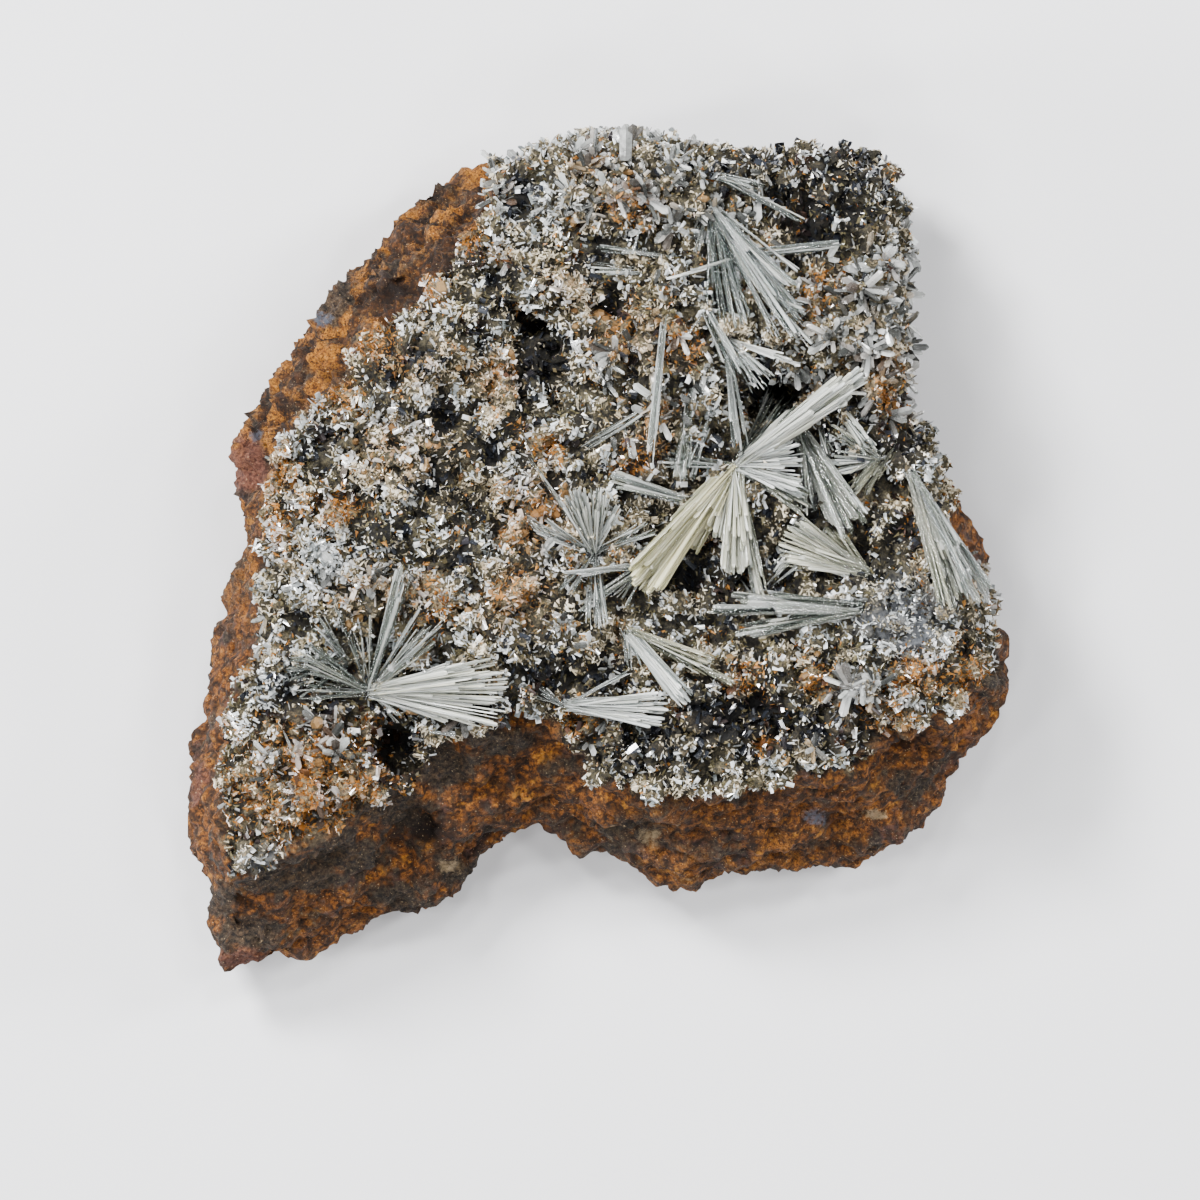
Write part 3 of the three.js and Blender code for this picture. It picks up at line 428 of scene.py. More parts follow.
# How the laths of one limb differ, as shares of the limb's own measures, and how they clear the rock
LATH_SHORTENING = 0.4
LIMB_ROUNDING = 0.08
LATH_LIFTS = (0.15, 1.1)
LATH_WIDTHS = (0.5, 1.35)
LATE_START = 0.15
LATH_SPACING = 0.6
SILK_SPREAD = 0.35
YELLOW_SPREAD = 0.2
THICKEST_LATH = 0.42 * MM
BROAD_LATH = 2 * THICKEST_LATH
BROAD_TWIST = 0.25
LATH_TWIST = 0.9
STREAK_STEP = 1.7
FOOT_RISE = 0.5 * MM
FOOT_SCATTER = 0.22 * MM
LATH_CLEARANCE = 0.2 * MM
CLEARED_SHARES = (0.4, 0.6, 0.8)
TOP_MARGIN = 0.3 * MM

# Any other seeds give another specimen of the same kind
NOISE_SEED = 3
CRYSTAL_SEED = 20

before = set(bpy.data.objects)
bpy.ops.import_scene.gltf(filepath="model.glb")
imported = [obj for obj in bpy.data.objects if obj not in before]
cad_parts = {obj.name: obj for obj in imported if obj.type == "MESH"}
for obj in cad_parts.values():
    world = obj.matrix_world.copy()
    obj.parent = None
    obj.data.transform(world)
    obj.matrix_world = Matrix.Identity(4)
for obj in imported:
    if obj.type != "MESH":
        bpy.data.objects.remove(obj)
cad_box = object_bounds()
BOX_LOW = np.array(cad_box[0])
BOX_HIGH = np.array(cad_box[1])
BOX_MARGIN = 0.05 * MM
UP = np.array([0.0, 0.0, 1.0])
EAST = np.array([1.0, 0.0, 0.0])
NEAR_ZERO = 1e-6


class Value:
    """A number that varies over a surface. Expressions on values add Math nodes."""

    def __init__(self, paint, socket):
        self.paint = paint
        self.socket = socket

    def math(self, operation, first, second):
        return self.paint.node("ShaderNodeMath", {"operation": operation}, {0: first, 1: second})

    def __add__(self, other):
        return self.math("ADD", self, other)

    def __radd__(self, other):
        return self.math("ADD", other, self)

    def __sub__(self, other):
        return self.math("SUBTRACT", self, other)

    def __rsub__(self, other):
        return self.math("SUBTRACT", other, self)

    def __mul__(self, other):
        return self.math("MULTIPLY", self, other)

    def __rmul__(self, other):
        return self.math("MULTIPLY", other, self)


class Paint:
    """One material, its node tree and the nodes that its recipe asks for."""

    def __init__(self, name):
        self.material = bpy.data.materials.new(name)
        self.material.use_nodes = True
        self.nodes = self.material.node_tree.nodes
        self.links = self.material.node_tree.links
        self.nodes.clear()
        self.output = self.nodes.new("ShaderNodeOutputMaterial")
        self.place = self.node("ShaderNodeTexCoord", {}, {}, "Object")

    def node(self, kind, settings, sockets, out=0):
        node = self.nodes.new(kind)
        for key, setting in settings.items():
            setattr(node, key, setting)
        for key, given in sockets.items():
            if isinstance(given, Value):
                self.links.new(given.socket, node.inputs[key])
            else:
                node.inputs[key].default_value = given
        return Value(self, node.outputs[out])

    def noise(self, size, detail=4, roughness=0.6, place=None):
        sockets = {
            "Vector": place or self.place,
            "Scale": 1 / size,
            "Detail": detail,
            "Roughness": roughness,
        }
        return self.node("ShaderNodeTexNoise", {}, sockets, "Fac")

    def cells(self, size, feature="F1"):
        sockets = {"Vector": self.place, "Scale": 1 / size}
        return self.node("ShaderNodeTexVoronoi", {"feature": feature}, sockets, "Distance")

    def stretched(self, scale, turn=0.0):
        """Places turned about Z and drawn out along each axis, for a pattern that runs in layers."""
        sockets = {"Vector": self.place, "Rotation": (0, 0, turn), "Scale": scale}
        return self.node("ShaderNodeMapping", {"vector_type": "TEXTURE"}, sockets)

    def attribute(self, name):
        return self.node("ShaderNodeAttribute", {"attribute_name": name}, {}, "Fac")

    def steps(self, value, low, high):
        """0 below low, 1 above high, smooth between."""
        settings = {"interpolation_type": "SMOOTHSTEP"}
        sockets = {"Value": value, "From Min": low, "From Max": high}
        return self.node("ShaderNodeMapRange", settings, sockets, "Result")

    def mix(self, share, first, second):
        """From one colour to another."""
        return self.node("ShaderNodeMix", {"data_type": "RGBA"}, {0: share, 6: first, 7: second}, 2)

    def bump(self, height, distance, strength=1.0):
        sockets = {"Height": height, "Distance": distance, "Strength": strength}
        return self.node("ShaderNodeBump", {}, sockets)

    def principled(self, sockets):
        return self.node("ShaderNodeBsdfPrincipled", {}, sockets)

    def finish(self, shader):
        self.links.new(shader.socket, self.output.inputs["Surface"])
        return self.material


def colour(red, green, blue):
    """An sRGB colour from 0 to 255 as linear values."""
    def linear(part):
        share = part / 255
        return share / 12.92 if share <= 0.04045 else ((share + 0.055) / 1.055) ** 2.4
    return (linear(red), linear(green), linear(blue), 1.0)


ORANGE_OCHRE = colour(156, 99, 46)
BRIGHT_OCHRE = colour(202, 142, 62)
DEEP_RUST = colour(60, 37, 22)
DARK_BROWN = colour(26, 20, 17)
# Near-black brown for the dark patches of the flank, partly painted shade
DARK_PATCH_AND_SHADE_BROWN = colour(26, 13, 7)
PURPLE_BROWN = colour(84, 64, 64)
SLATE_DARK = colour(24, 22, 23)
SLATE_PALE = colour(92, 80, 64)
MAROON_DARK = colour(80, 48, 40)
MAROON = colour(136, 92, 76)
BLUE_GREY = colour(92, 100, 114)
# Black for painted shade in the gaps of the crust, and partly for its dark patches
CRUST_BLACK_AND_SHADE = colour(14, 14, 17)
CRUST_GREY = colour(52, 49, 44)
CRUST_OLIVE = colour(118, 110, 86)
CRUST_CREAM = colour(176, 156, 124)
POWDER_WHITE = colour(122, 126, 132)
FROST_WHITE = colour(228, 230, 228)
FROST_GREY = colour(94, 96, 94)
WARM_CREAM = colour(196, 174, 140)
PEACH = colour(206, 164, 122)
AMBER = colour(160, 106, 54)
NEEDLE_WHITE = colour(250, 252, 250)
NEEDLE_GREY = colour(130, 140, 137)
NEEDLE_YELLOW = colour(230, 225, 188)
NEEDLE_OLIVE = colour(150, 148, 110)
CLEAR_GLASS = colour(204, 214, 213)
CLEAR_YELLOW = colour(204, 200, 168)

# Looks of the small crystals: pale colour, deep colour, smoothest, roughest, refraction, light passed
GRAIN_LOOKS = {
    "tan": (colour(182, 152, 112), colour(104, 76, 46), 0.08, 0.35, 1.6, 0.5),
    "cream": (colour(234, 225, 204), colour(130, 118, 92), 0.05, 0.28, 1.65, 0.25),
    "silver": (colour(246, 249, 250), colour(128, 134, 134), 0.04, 0.18, 1.7, 0.3),
    "amber": (colour(200, 150, 92), colour(112, 66, 30), 0.06, 0.3, 1.65, 0.3),
    "smoky": (colour(146, 138, 108), colour(50, 47, 37), 0.04, 0.25, 1.75, 0.4),
    "dark": (colour(50, 53, 60), colour(8, 8, 10), 0.05, 0.25, 1.9, 0.0),
}


def flank_colour(paint, fine):
    """Granular ochre and rust with slate-grey layers, reddish lobes and pale specks, some of them painted
    glints. Painted shade lies between the rind's knobs and partly in the dark patches.
    """
    mottle = paint.noise(1.5 * MM, 6, 0.75)
    tint = paint.noise(3.2 * MM, 5, 0.7)
    layers = paint.noise(8 * MM, 5, 0.6, paint.stretched((1, 1, 1 / STRATA_STRETCH)))
    bands = paint.noise(1.3 * MM, 6, 0.7, paint.stretched((BAND_STRETCH, 1, 1), BAND_BEARING))
    specks_and_painted_glints = paint.noise(0.2 * MM, 2, 0.5)
    crumbs = paint.cells(CRUMB_SIZE)
    ochre = paint.mix(paint.steps(fine, 0.36, 0.62), DEEP_RUST, ORANGE_OCHRE)
    sunny = paint.steps(0.5 * mottle + 0.5 * bands + 0.4 * fine, 0.72, 0.82)
    ochre = paint.mix(sunny * 0.7, ochre, BRIGHT_OCHRE)
    ochre = paint.mix(paint.steps(bands + 0.3 * fine, 0.62, 0.52) * 0.65, ochre, DARK_BROWN)
    ochre = paint.mix(paint.steps(mottle + 0.4 * fine, 0.65, 0.54) * 0.7, ochre, DARK_BROWN)
    ochre = paint.mix(paint.steps(tint + 0.2 * fine, 0.63, 0.73) * 0.7, ochre, PURPLE_BROWN)
    ochre = paint.mix(paint.steps(crumbs + 0.4 * fine, 0.62, 0.9) * 0.7, ochre, DARK_BROWN)
    bright = paint.mix(paint.steps(fine, 0.42, 0.6), ORANGE_OCHRE, BRIGHT_OCHRE)
    bright = paint.mix(paint.steps(specks_and_painted_glints, 0.52, 0.36) * 0.75, bright, DEEP_RUST)
    # Dark brown in the gaps between the rind's knobs is painted shade; the mottle and grain in this mask
    # add real dark patches
    painted_knob_light_and_mottle = paint.steps(0.6 * paint.attribute("knob") + 1.2 * mottle + 0.8 * fine, 1.05, 1.5)
    bright = paint.mix(painted_knob_light_and_mottle, DARK_BROWN, bright)
    ochre = paint.mix(paint.attribute("rind") * 0.7, ochre, bright)
    slate = paint.mix(paint.steps(fine, 0.38, 0.68), SLATE_DARK, SLATE_PALE)
    slaty = paint.attribute("slate") * 0.22 + 0.5 * tint + 0.5 * layers + 0.3 * mottle
    ochre = paint.mix(paint.steps(slaty, 0.66, 0.77) * 0.9, ochre, slate)
    lobe = paint.mix(paint.steps(fine, 0.38, 0.62), MAROON_DARK, MAROON)
    reddish = paint.steps(paint.attribute("maroon") + mottle + 0.6 * tint, 1.1, 1.6)
    ochre = paint.mix(reddish * 0.85, ochre, lobe)
    bluish = paint.attribute("blue") + 1.6 * mottle + 1.2 * fine
    ochre = paint.mix(paint.steps(bluish, 2.0, 2.4) * 0.8, ochre, BLUE_GREY)
    # The dark patches: partly real dark crust, partly painted shade
    ochre = paint.mix(paint.attribute("dark"), ochre, DARK_PATCH_AND_SHADE_BROWN)
    pale = paint.steps(paint.attribute("white") + 1.6 * mottle + 0.8 * fine, 1.8, 2.2)
    ochre = paint.mix(pale * 0.6, ochre, CRUST_CREAM)
    # Tiny cream specks: some real pale specks, some painted glints
    return paint.mix(paint.steps(specks_and_painted_glints, 0.68, 0.74), ochre, CRUST_CREAM)


def crust_colour(paint, fine):
    """The dark granular crust between the small crystals, olive on its crests, with black painted shade in
    the gaps between its knobs and partly in the dark patches.
    """
    crest = paint.attribute("crest")
    crust = paint.mix(paint.steps(fine, 0.36, 0.66), CRUST_GREY, CRUST_OLIVE)
    crust = paint.mix(paint.steps(fine * crest, 0.44, 0.66), crust, CRUST_CREAM)
    stained = paint.mix(paint.steps(fine, 0.35, 0.65), DEEP_RUST, WARM_CREAM)
    crust = paint.mix(paint.attribute("rust") * 0.7, crust, stained)
    # Black where the crest is low, in the gaps between knobs: painted shade
    crust = paint.mix(paint.steps(crest + 0.6 * fine, 0.75, 0.3) * 0.8, crust, CRUST_BLACK_AND_SHADE)
    # Black in the dark patches: partly real dark crust, partly painted shade
    crust = paint.mix(paint.attribute("dark") * 0.9, crust, CRUST_BLACK_AND_SHADE)
    return paint.mix(paint.attribute("powder") * paint.steps(fine, 0.3, 0.5), crust, POWDER_WHITE)


def rock_material():
    """Layered ochre gossan on the flanks, a dark granular crust under the druse."""
    paint = Paint("iron_stained_gossan")
    fine = paint.noise(0.4 * MM, 6, 0.8)
    coarse = paint.noise(2.2 * MM, 6, 0.7)
    flank = flank_colour(paint, fine)
    crust = crust_colour(paint, fine)
    height = 0.8 * fine + 0.5 * coarse - 0.5 * paint.cells(CRUMB_SIZE)
    shader = paint.principled({
        "Base Color": paint.mix(paint.attribute("face"), flank, crust),
        "Roughness": 0.75 - 0.4 * paint.steps(fine, 0.55, 0.75),
        "Normal": paint.bump(height, 0.5 * MM),
    })
    return paint.finish(shader)


def blade_material():
    """Frosted white to grey blades, with cream and rust on some of them."""
    paint = Paint("frosted_phosphophyllite")
    cloud = paint.noise(0.6 * MM)
    body = paint.mix(paint.steps(paint.attribute("tone"), 0.45, 0.95), FROST_WHITE, WARM_CREAM)
    body = paint.mix(paint.steps(paint.attribute("shade") + 0.5 * cloud, 0.4, 1.1), body, FROST_GREY)
    body = paint.mix(paint.attribute("rust"), body, AMBER)
    shader = paint.principled({
        "Base Color": body,
        "Roughness": 0.1 + 0.25 * cloud,
        "IOR": 1.6,
        "Transmission Weight": 0.6,
        "Normal": paint.bump(cloud, 0.05 * MM, 0.5),
    })
    return paint.finish(shader)


def grain_material(kind):
    """The small crystals of one colour, each a little different."""
    pale, deep, smoothest, roughest, refraction, passed = GRAIN_LOOKS[kind]
    paint = Paint("druse_" + kind)
    cloud = paint.noise(0.5 * MM)
    body = paint.mix(paint.attribute("tone"), pale, deep)
    body = paint.mix(paint.steps(cloud, 0.5, 0.8) * 0.5, body, deep)
    body = paint.mix(paint.attribute("warm"), body, PEACH)
    body = paint.mix(paint.attribute("rust"), body, AMBER)
    shader = paint.principled({
        "Base Color": body,
        "Roughness": smoothest + (roughest - smoothest) * cloud,
        "IOR": refraction,
        "Transmission Weight": passed,
    })
    return paint.finish(shader)


def needle_material():
    """Scholzite laths, from clear glass to silky white, striated along their length."""
    paint = Paint("scholzite_laths")
    silk = paint.attribute("silk")
    yellow = paint.attribute("yellow")
    side = paint.node("ShaderNodeCombineXYZ", {}, {"X": paint.attribute("across")})
    streaks = paint.node("ShaderNodeTexNoise", {}, {"Vector": side, "Scale": 9.0, "Detail": 3.0}, "Fac")
    pale = paint.steps(0.7 * paint.attribute("tone") + 0.7 * streaks, 0.2, 0.8)
    ridges = paint.bump(streaks, 0.12 * MM, 0.7)
    grey = paint.mix(yellow, NEEDLE_GREY, NEEDLE_OLIVE)
    white = paint.mix(yellow, NEEDLE_WHITE, NEEDLE_YELLOW)
    silky = paint.principled({
        "Base Color": paint.mix(pale, grey, white),
        "Roughness": 0.05 + 0.2 * streaks,
        "IOR": 1.65,
        "Transmission Weight": 0.4,
        "Normal": ridges,
    })
    clear = paint.principled({
        "Base Color": paint.mix(yellow, CLEAR_GLASS, CLEAR_YELLOW),
        "Roughness": 0.02 + 0.06 * streaks,
        "IOR": 1.62,
        "Transmission Weight": 1.0,
        "Normal": ridges,
    })
    share = silk * (0.6 + 0.4 * paint.attribute("along"))
    shader = paint.node("ShaderNodeMixShader", {}, {0: share, 1: clear, 2: silky})
    return paint.finish(shader)


def floor_material():
    paint = Paint("pale_floor")
    shader = paint.principled({"Base Color": colour(214, 214, 216), "Roughness": 0.7})
    return paint.finish(shader)


def deselect_all():
    if bpy.context.object and bpy.context.object.mode != "OBJECT":
        bpy.ops.object.mode_set(mode="OBJECT")
    bpy.ops.object.select_all(action="DESELECT")


def make_active(piece):
    deselect_all()
    piece.select_set(True)
    bpy.context.view_layer.objects.active = piece


def read_vectors(collection, name):
    flat = np.empty(len(collection) * 3)
    collection.foreach_get(name, flat)
    return flat.reshape(-1, 3)


def set_coordinates(mesh, points):
    mesh.vertices.foreach_set("co", points.ravel())
    mesh.update()


def add_attribute(mesh, name, values):
    layer = mesh.attributes.new(name, "FLOAT", "POINT")
    layer.data.foreach_set("value", np.ascontiguousarray(values, dtype=np.float32))


def read_attribute(mesh, name):
    values = np.empty(len(mesh.vertices))
    mesh.attributes[name].data.foreach_get("value", values)
    return values


def smooth_step(values, low, high):
    share = np.clip((values - low) / (high - low), 0, 1)
    return share * share * (3 - 2 * share)


def unit(vectors):
    return vectors / np.linalg.norm(vectors, axis=1, keepdims=True)


def patch_strength(points, patches):
    """How strongly soft elliptical patches cover points in the plane."""
    strength = np.zeros(len(points))
    for x, y, half_width, half_height, most in patches:
        across = (points[:, 0] / MM - x) / half_width
        up = (points[:, 1] / MM - y) / half_height
        strength = np.maximum(strength, most * np.exp(-(across ** 2 + up ** 2) ** 1.5))
    return strength


def inside_rim(points):
    """Distance inside the rim of the face, negative outside."""
    corners = np.array(RIM) * MM
    following = np.roll(corners, -1, axis=0)
    nearest = np.full(len(points), np.inf)
    inside = np.zeros(len(points), dtype=bool)
    for start, end in zip(corners, following):
        edge = end - start
        share = np.clip((points - start) @ edge / (edge @ edge), 0, 1)
        gap = np.linalg.norm(points - start - share[:, None] * edge, axis=1)
        nearest = np.minimum(nearest, gap)
        crosses = (start[1] > points[:, 1]) != (end[1] > points[:, 1])
        rise = edge[1] or NEAR_ZERO * MM
        reach = start[0] + (points[:, 1] - start[1]) / rise * edge[0]
        inside ^= crosses & (points[:, 0] < reach)
    return np.where(inside, nearest, -nearest)


def noise_at(points, size, pattern):
    """Smooth noise from -1 to 1 at each point."""
    moved = points / size + NOISE_PLACES[pattern]
    return np.array([noise.noise(Vector(point)) for point in moved])


def knobs_at(points, size, pattern):
    """1 in the middle of each knob of a knobbly skin, 0 in the gaps between knobs."""
    moved = points / size + NOISE_PLACES[pattern]
    nearest = np.empty((len(moved), 2))
    for i, point in enumerate(moved):
        astray = KNOB_WANDER * noise.noise_vector(Vector(2 * point))
        nearest[i] = noise.voronoi(Vector(point) + astray)[0][:2]
    return smooth_step(nearest[:, 1] - nearest[:, 0], 0.0, KNOB_EDGE)


def merged_copy(name, node):
    """A new object with a merged copy of a CAD node's mesh."""
    piece = bpy.data.objects.new(name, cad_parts[node].data.copy())
    piece.data.materials.clear()
    bpy.context.collection.objects.link(piece)
    make_active(piece)
    bpy.ops.object.mode_set(mode="EDIT")
    bpy.ops.mesh.select_all(action="SELECT")
    bpy.ops.mesh.remove_doubles(threshold=MERGE_DISTANCE)
    bpy.ops.object.mode_set(mode="OBJECT")
    return piece


def wear_at(points, size, pattern):
    """Rough wear with finer and finer detail, about -1 to 1."""
    moved = points / size + NOISE_PLACES[pattern]
    return np.array([noise.fractal(Vector(point), 0.7, 2.0, 5) for point in moved])


def roughen(mesh):
    """Break the rock's skin into knobs, grit and layers. Gives what the colours and crystals need."""
    points = read_vectors(mesh.vertices, "co")
    normals = read_vectors(mesh.vertices, "normal")
    wobble = noise_at(points, RIM_WOBBLE[0], "wobble")
    overgrown = patch_strength(points[:, :2], OVERGROWN)
    inward = inside_rim(points[:, :2]) + OVERGROWTH * overgrown + RIM_WOBBLE[1] * wobble
    face = smooth_step(inward, *RIM_EDGE)
    face = face * (points[:, 2] > LOWEST_FACE - OVERGROWN_DROP * overgrown)
    crest = knobs_at(points, FACE_KNOBS[0], "crest")
    knob = knobs_at(points, RIND_KNOBS[0], "knob")
    hollow = smooth_step(noise_at(points, HOLLOWS[0], "hollow"), 0.1, 0.5)
    face_relief = (
        FACE_KNOBS[1] * crest
        + FACE_GRAINS[1] * knobs_at(points, FACE_GRAINS[0], "face_grains")
        - HOLLOWS[1] * hollow
        - DARK_SINK * patch_strength(points[:, :2], PATCHES["dark"])
        - FACE_SINK
    )
    rind_grit = RIND_GRIT[1] * wear_at(points, RIND_GRIT[0], "rind_grit")
    rind_relief = RIND_KNOBS[1] * knob + rind_grit - RIND_SINK
    strata = noise_at(points * [1, 1, STRATA_STRETCH], STRATA[0], "strata")
    flank_relief = (
        FLANK_WEAR[1] * wear_at(points, FLANK_WEAR[0], "flank_wear")
        + FLANK_GRIT[1] * noise_at(points, FLANK_GRIT[0], "flank_grit")
        - STRATA[1] * np.abs(strata)
        - FLANK_SINK
        + patch_strength(points[:, :2], PATCHES["rind"]) * rind_relief
    )
    relief = face * face_relief + (1 - face) * flank_relief
    points = points + normals * relief[:, None]
    low = BOX_LOW + [BOX_MARGIN, BOX_MARGIN, 0]
    points = np.clip(points, low, BOX_HIGH - BOX_MARGIN)
    points[points[:, 2] < BACK_LEVEL, 2] = 0
    set_coordinates(mesh, points)
    return points, wobble, {"face": face, "crest": crest, "knob": knob, "hollow": hollow}


def build_rock():
    """The gossan, broken up finely and kept inside the solid's own box."""
    rock = merged_copy("gossan", "matrix")
    remesh = rock.modifiers.new("even_skin", "REMESH")
    remesh.mode = "VOXEL"
    remesh.voxel_size = ROCK_VOXEL
    bpy.ops.object.modifier_apply(modifier=remesh.name)
    mesh = rock.data
    points, wobble, traits = roughen(mesh)
    stain = noise_at(points, STAIN_SIZE, "stain")
    broken = smooth_step(noise_at(points, BREAK_SIZE, "broken"), -0.4, 0.1)
    for name, values in traits.items():
        add_attribute(mesh, name, values)
    for name, patches in PATCHES.items():
        strength = patch_strength(points[:, :2], patches)
        if name == "rust":
            strength = np.clip(0.8 * strength * (0.8 + wobble) + 0.7 * np.clip(stain - 0.25, 0, 1), 0, 1)
        if name == "powder":
            strength = np.clip(strength * (0.7 + 0.6 * wobble), 0, 1)
        if name in BROKEN_PATCHES:
            strength = strength * broken
        add_attribute(mesh, name, strength)
    make_active(rock)
    bpy.ops.object.shade_smooth()
    mesh.materials.append(rock_material())
    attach(rock, "root")
    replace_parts(rock, "matrix")
    return rock


def select_faces(piece, wanted):
    bpy.ops.mesh.select_all(action="DESELECT")
    bpy.ops.object.mode_set(mode="OBJECT")
    for face in piece.data.polygons:
        face.select = wanted(face)
    bpy.ops.object.mode_set(mode="EDIT")


def crystal_pattern(name, sides, thickness, foot_width, tip_length, tip_width, tip_thickness):
    """A crystal one unit long and one wide, standing on the origin, with a sloping end."""
    deselect_all()
    bpy.ops.mesh.primitive_cylinder_add(vertices=sides, radius=0.5, depth=1 - tip_length,
                                        location=(0, 0, (1 - tip_length) / 2))
    crystal = bpy.context.object
    crystal.name = name
    bpy.ops.object.transform_apply(location=True, rotation=False, scale=False)
    bpy.ops.object.mode_set(mode="EDIT")
    bpy.ops.mesh.select_mode(type="FACE")
    bpy.ops.mesh.select_all(action="SELECT")
    bpy.ops.transform.resize(value=(1, thickness, 1), center_override=(0, 0, 0))
    select_faces(crystal, lambda face: face.normal.z < -0.9)
    bpy.ops.transform.resize(value=(foot_width, foot_width, 1), center_override=(0, 0, 0))
    select_faces(crystal, lambda face: face.normal.z > 0.9)
    if tip_length:
        bpy.ops.mesh.extrude_region_move(TRANSFORM_OT_translate={"value": (0, 0, tip_length)})
    bpy.ops.transform.resize(value=(tip_width, tip_thickness, 1), center_override=(0, 0, 1))
    bpy.ops.object.mode_set(mode="OBJECT")
    return crystal


def spike_pattern(name):
    """A small four-sided point, one unit long and one wide, its tip set to one side."""
    deselect_all()
    bpy.ops.mesh.primitive_cone_add(vertices=4, radius1=0.5, radius2=0, depth=1, location=(0, 0, 0.5))
    crystal = bpy.context.object
    crystal.name = name
    bpy.ops.object.transform_apply(location=True, rotation=False, scale=False)
    bpy.ops.object.mode_set(mode="EDIT")
    bpy.ops.mesh.select_mode(type="VERT")
    bpy.ops.mesh.select_all(action="SELECT")
    bpy.ops.transform.resize(value=(1, SPIKE_THICKNESS, 1), center_override=(0, 0, 0))
    bpy.ops.mesh.select_all(action="DESELECT")
    bpy.ops.object.mode_set(mode="OBJECT")
    for vertex in crystal.data.vertices:
        vertex.select = vertex.co.z > 0.5
    bpy.ops.object.mode_set(mode="EDIT")
    bpy.ops.transform.translate(value=(SPIKE_LEAN, 0, 0))
    bpy.ops.object.mode_set(mode="OBJECT")
    return crystal


def turned_axes(directions, twists):
    """Each crystal's own axes: across, through and along. At twist 0 its broad side faces up."""
    along = unit(directions)
    across = np.cross(along, UP)
    upright = np.linalg.norm(across, axis=1, keepdims=True) < NEAR_ZERO
    across = unit(np.where(upright, EAST, across))
    through = np.cross(along, across)
    cosine = np.cos(twists)[:, None]
    sine = np.sin(twists)[:, None]
    return across * cosine + through * sine, through * cosine - across * sine, along


def ordered_faces(mesh):
    """The corners of each face from the lowest on, in an order that is the same in every run."""
    faces = []
    for face in mesh.polygons:
        corners = list(face.vertices)
        first = corners.index(min(corners))
        faces.append(corners[first:] + corners[:first])
    return sorted(faces)


def joined_crystals(name, pattern, feet, directions, sizes, twists, traits):
    """One mesh of many copies of a pattern. Each size is a width, a depth and a length."""
    shape = read_vectors(pattern.data.vertices, "co")
    across, through, along = turned_axes(directions, twists)
    points = (
        feet[:, None, :]
        + across[:, None, :] * (sizes[:, :1] * shape[:, 0])[:, :, None]
        + through[:, None, :] * (sizes[:, 1:2] * shape[:, 1])[:, :, None]
        + along[:, None, :] * (sizes[:, 2:] * shape[:, 2])[:, :, None]
    )
    inside = ((points > BOX_LOW) & (points < BOX_HIGH)).all(axis=(1, 2))
    points = points[inside]
    count = len(points)
    size = len(shape)
    faces = ordered_faces(pattern.data)
    corners = np.concatenate(faces)
    totals = np.array([len(face) for face in faces])
    all_corners = (corners[None, :] + size * np.arange(count)[:, None]).ravel()
    all_totals = np.tile(totals, count)
    mesh = bpy.data.meshes.new(name)
    mesh.vertices.add(count * size)
    mesh.vertices.foreach_set("co", points.ravel())
    mesh.loops.add(len(all_corners))
    mesh.loops.foreach_set("vertex_index", all_corners)
    mesh.polygons.add(len(all_totals))
    mesh.polygons.foreach_set("loop_start", np.concatenate([[0], np.cumsum(all_totals)[:-1]]))
    mesh.update(calc_edges=True)
    mesh.validate()
    mesh.shade_flat()
    for trait, values in traits.items():
        add_attribute(mesh, trait, np.repeat(values[inside], size))
    add_attribute(mesh, "along", np.tile(shape[:, 2], count))
    own_streaks = np.repeat(np.arange(count) * STREAK_STEP, size)
    add_attribute(mesh, "across", np.tile(shape[:, 0], count) + own_streaks)
    piece = bpy.data.objects.new(name, mesh)
    bpy.context.collection.objects.link(piece)
    return piece


def dress(piece, material):
    """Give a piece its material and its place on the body."""
    piece.data.materials.append(material)
    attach(piece, "root")


def face_skin(rock):
    """The triangles of the crystal face, with what varies over them."""
    mesh = rock.data
    mesh.calc_loop_triangles()
    triangles = np.empty(len(mesh.loop_triangles) * 3, dtype=np.int32)
    mesh.loop_triangles.foreach_get("vertices", triangles)
    triangles = triangles.reshape(-1, 3)
    on_face = read_attribute(mesh, "face")[triangles].mean(axis=1) > 0.5
    triangles = triangles[on_face]
    corners = read_vectors(mesh.vertices, "co")[triangles]
    spans = np.cross(corners[:, 1] - corners[:, 0], corners[:, 2] - corners[:, 0])
    skin = {"corners": corners, "area": np.linalg.norm(spans, axis=1) / 2, "normal": unit(spans)}
    for name in ("crest", "hollow", "rust", "warm", "silvery", "dark", "powder", "frosted"):
        skin[name] = read_attribute(mesh, name)[triangles].mean(axis=1)
    centres = corners.mean(axis=1)
    skin["warmth"] = noise_at(centres, WARMTH_SIZE, "warmth")
    skin["drift"] = noise_at(centres, DRIFT_SIZE, "drift")
    return skin


def surface_samples(skin, weight, count, rng):
    """Random places on the face, denser where weight is more: their triangles and points."""
    share = skin["area"] * np.clip(weight, 0, None)
    chosen = rng.choice(len(share), size=count, p=share / share.sum())
    first, second, third = np.moveaxis(skin["corners"][chosen], 1, 0)
    spread = rng.random((count, 2))
    folded = spread.sum(axis=1) > 1
    spread[folded] = 1 - spread[folded]
    return chosen, first + spread[:, :1] * (second - first) + spread[:, 1:] * (third - first)


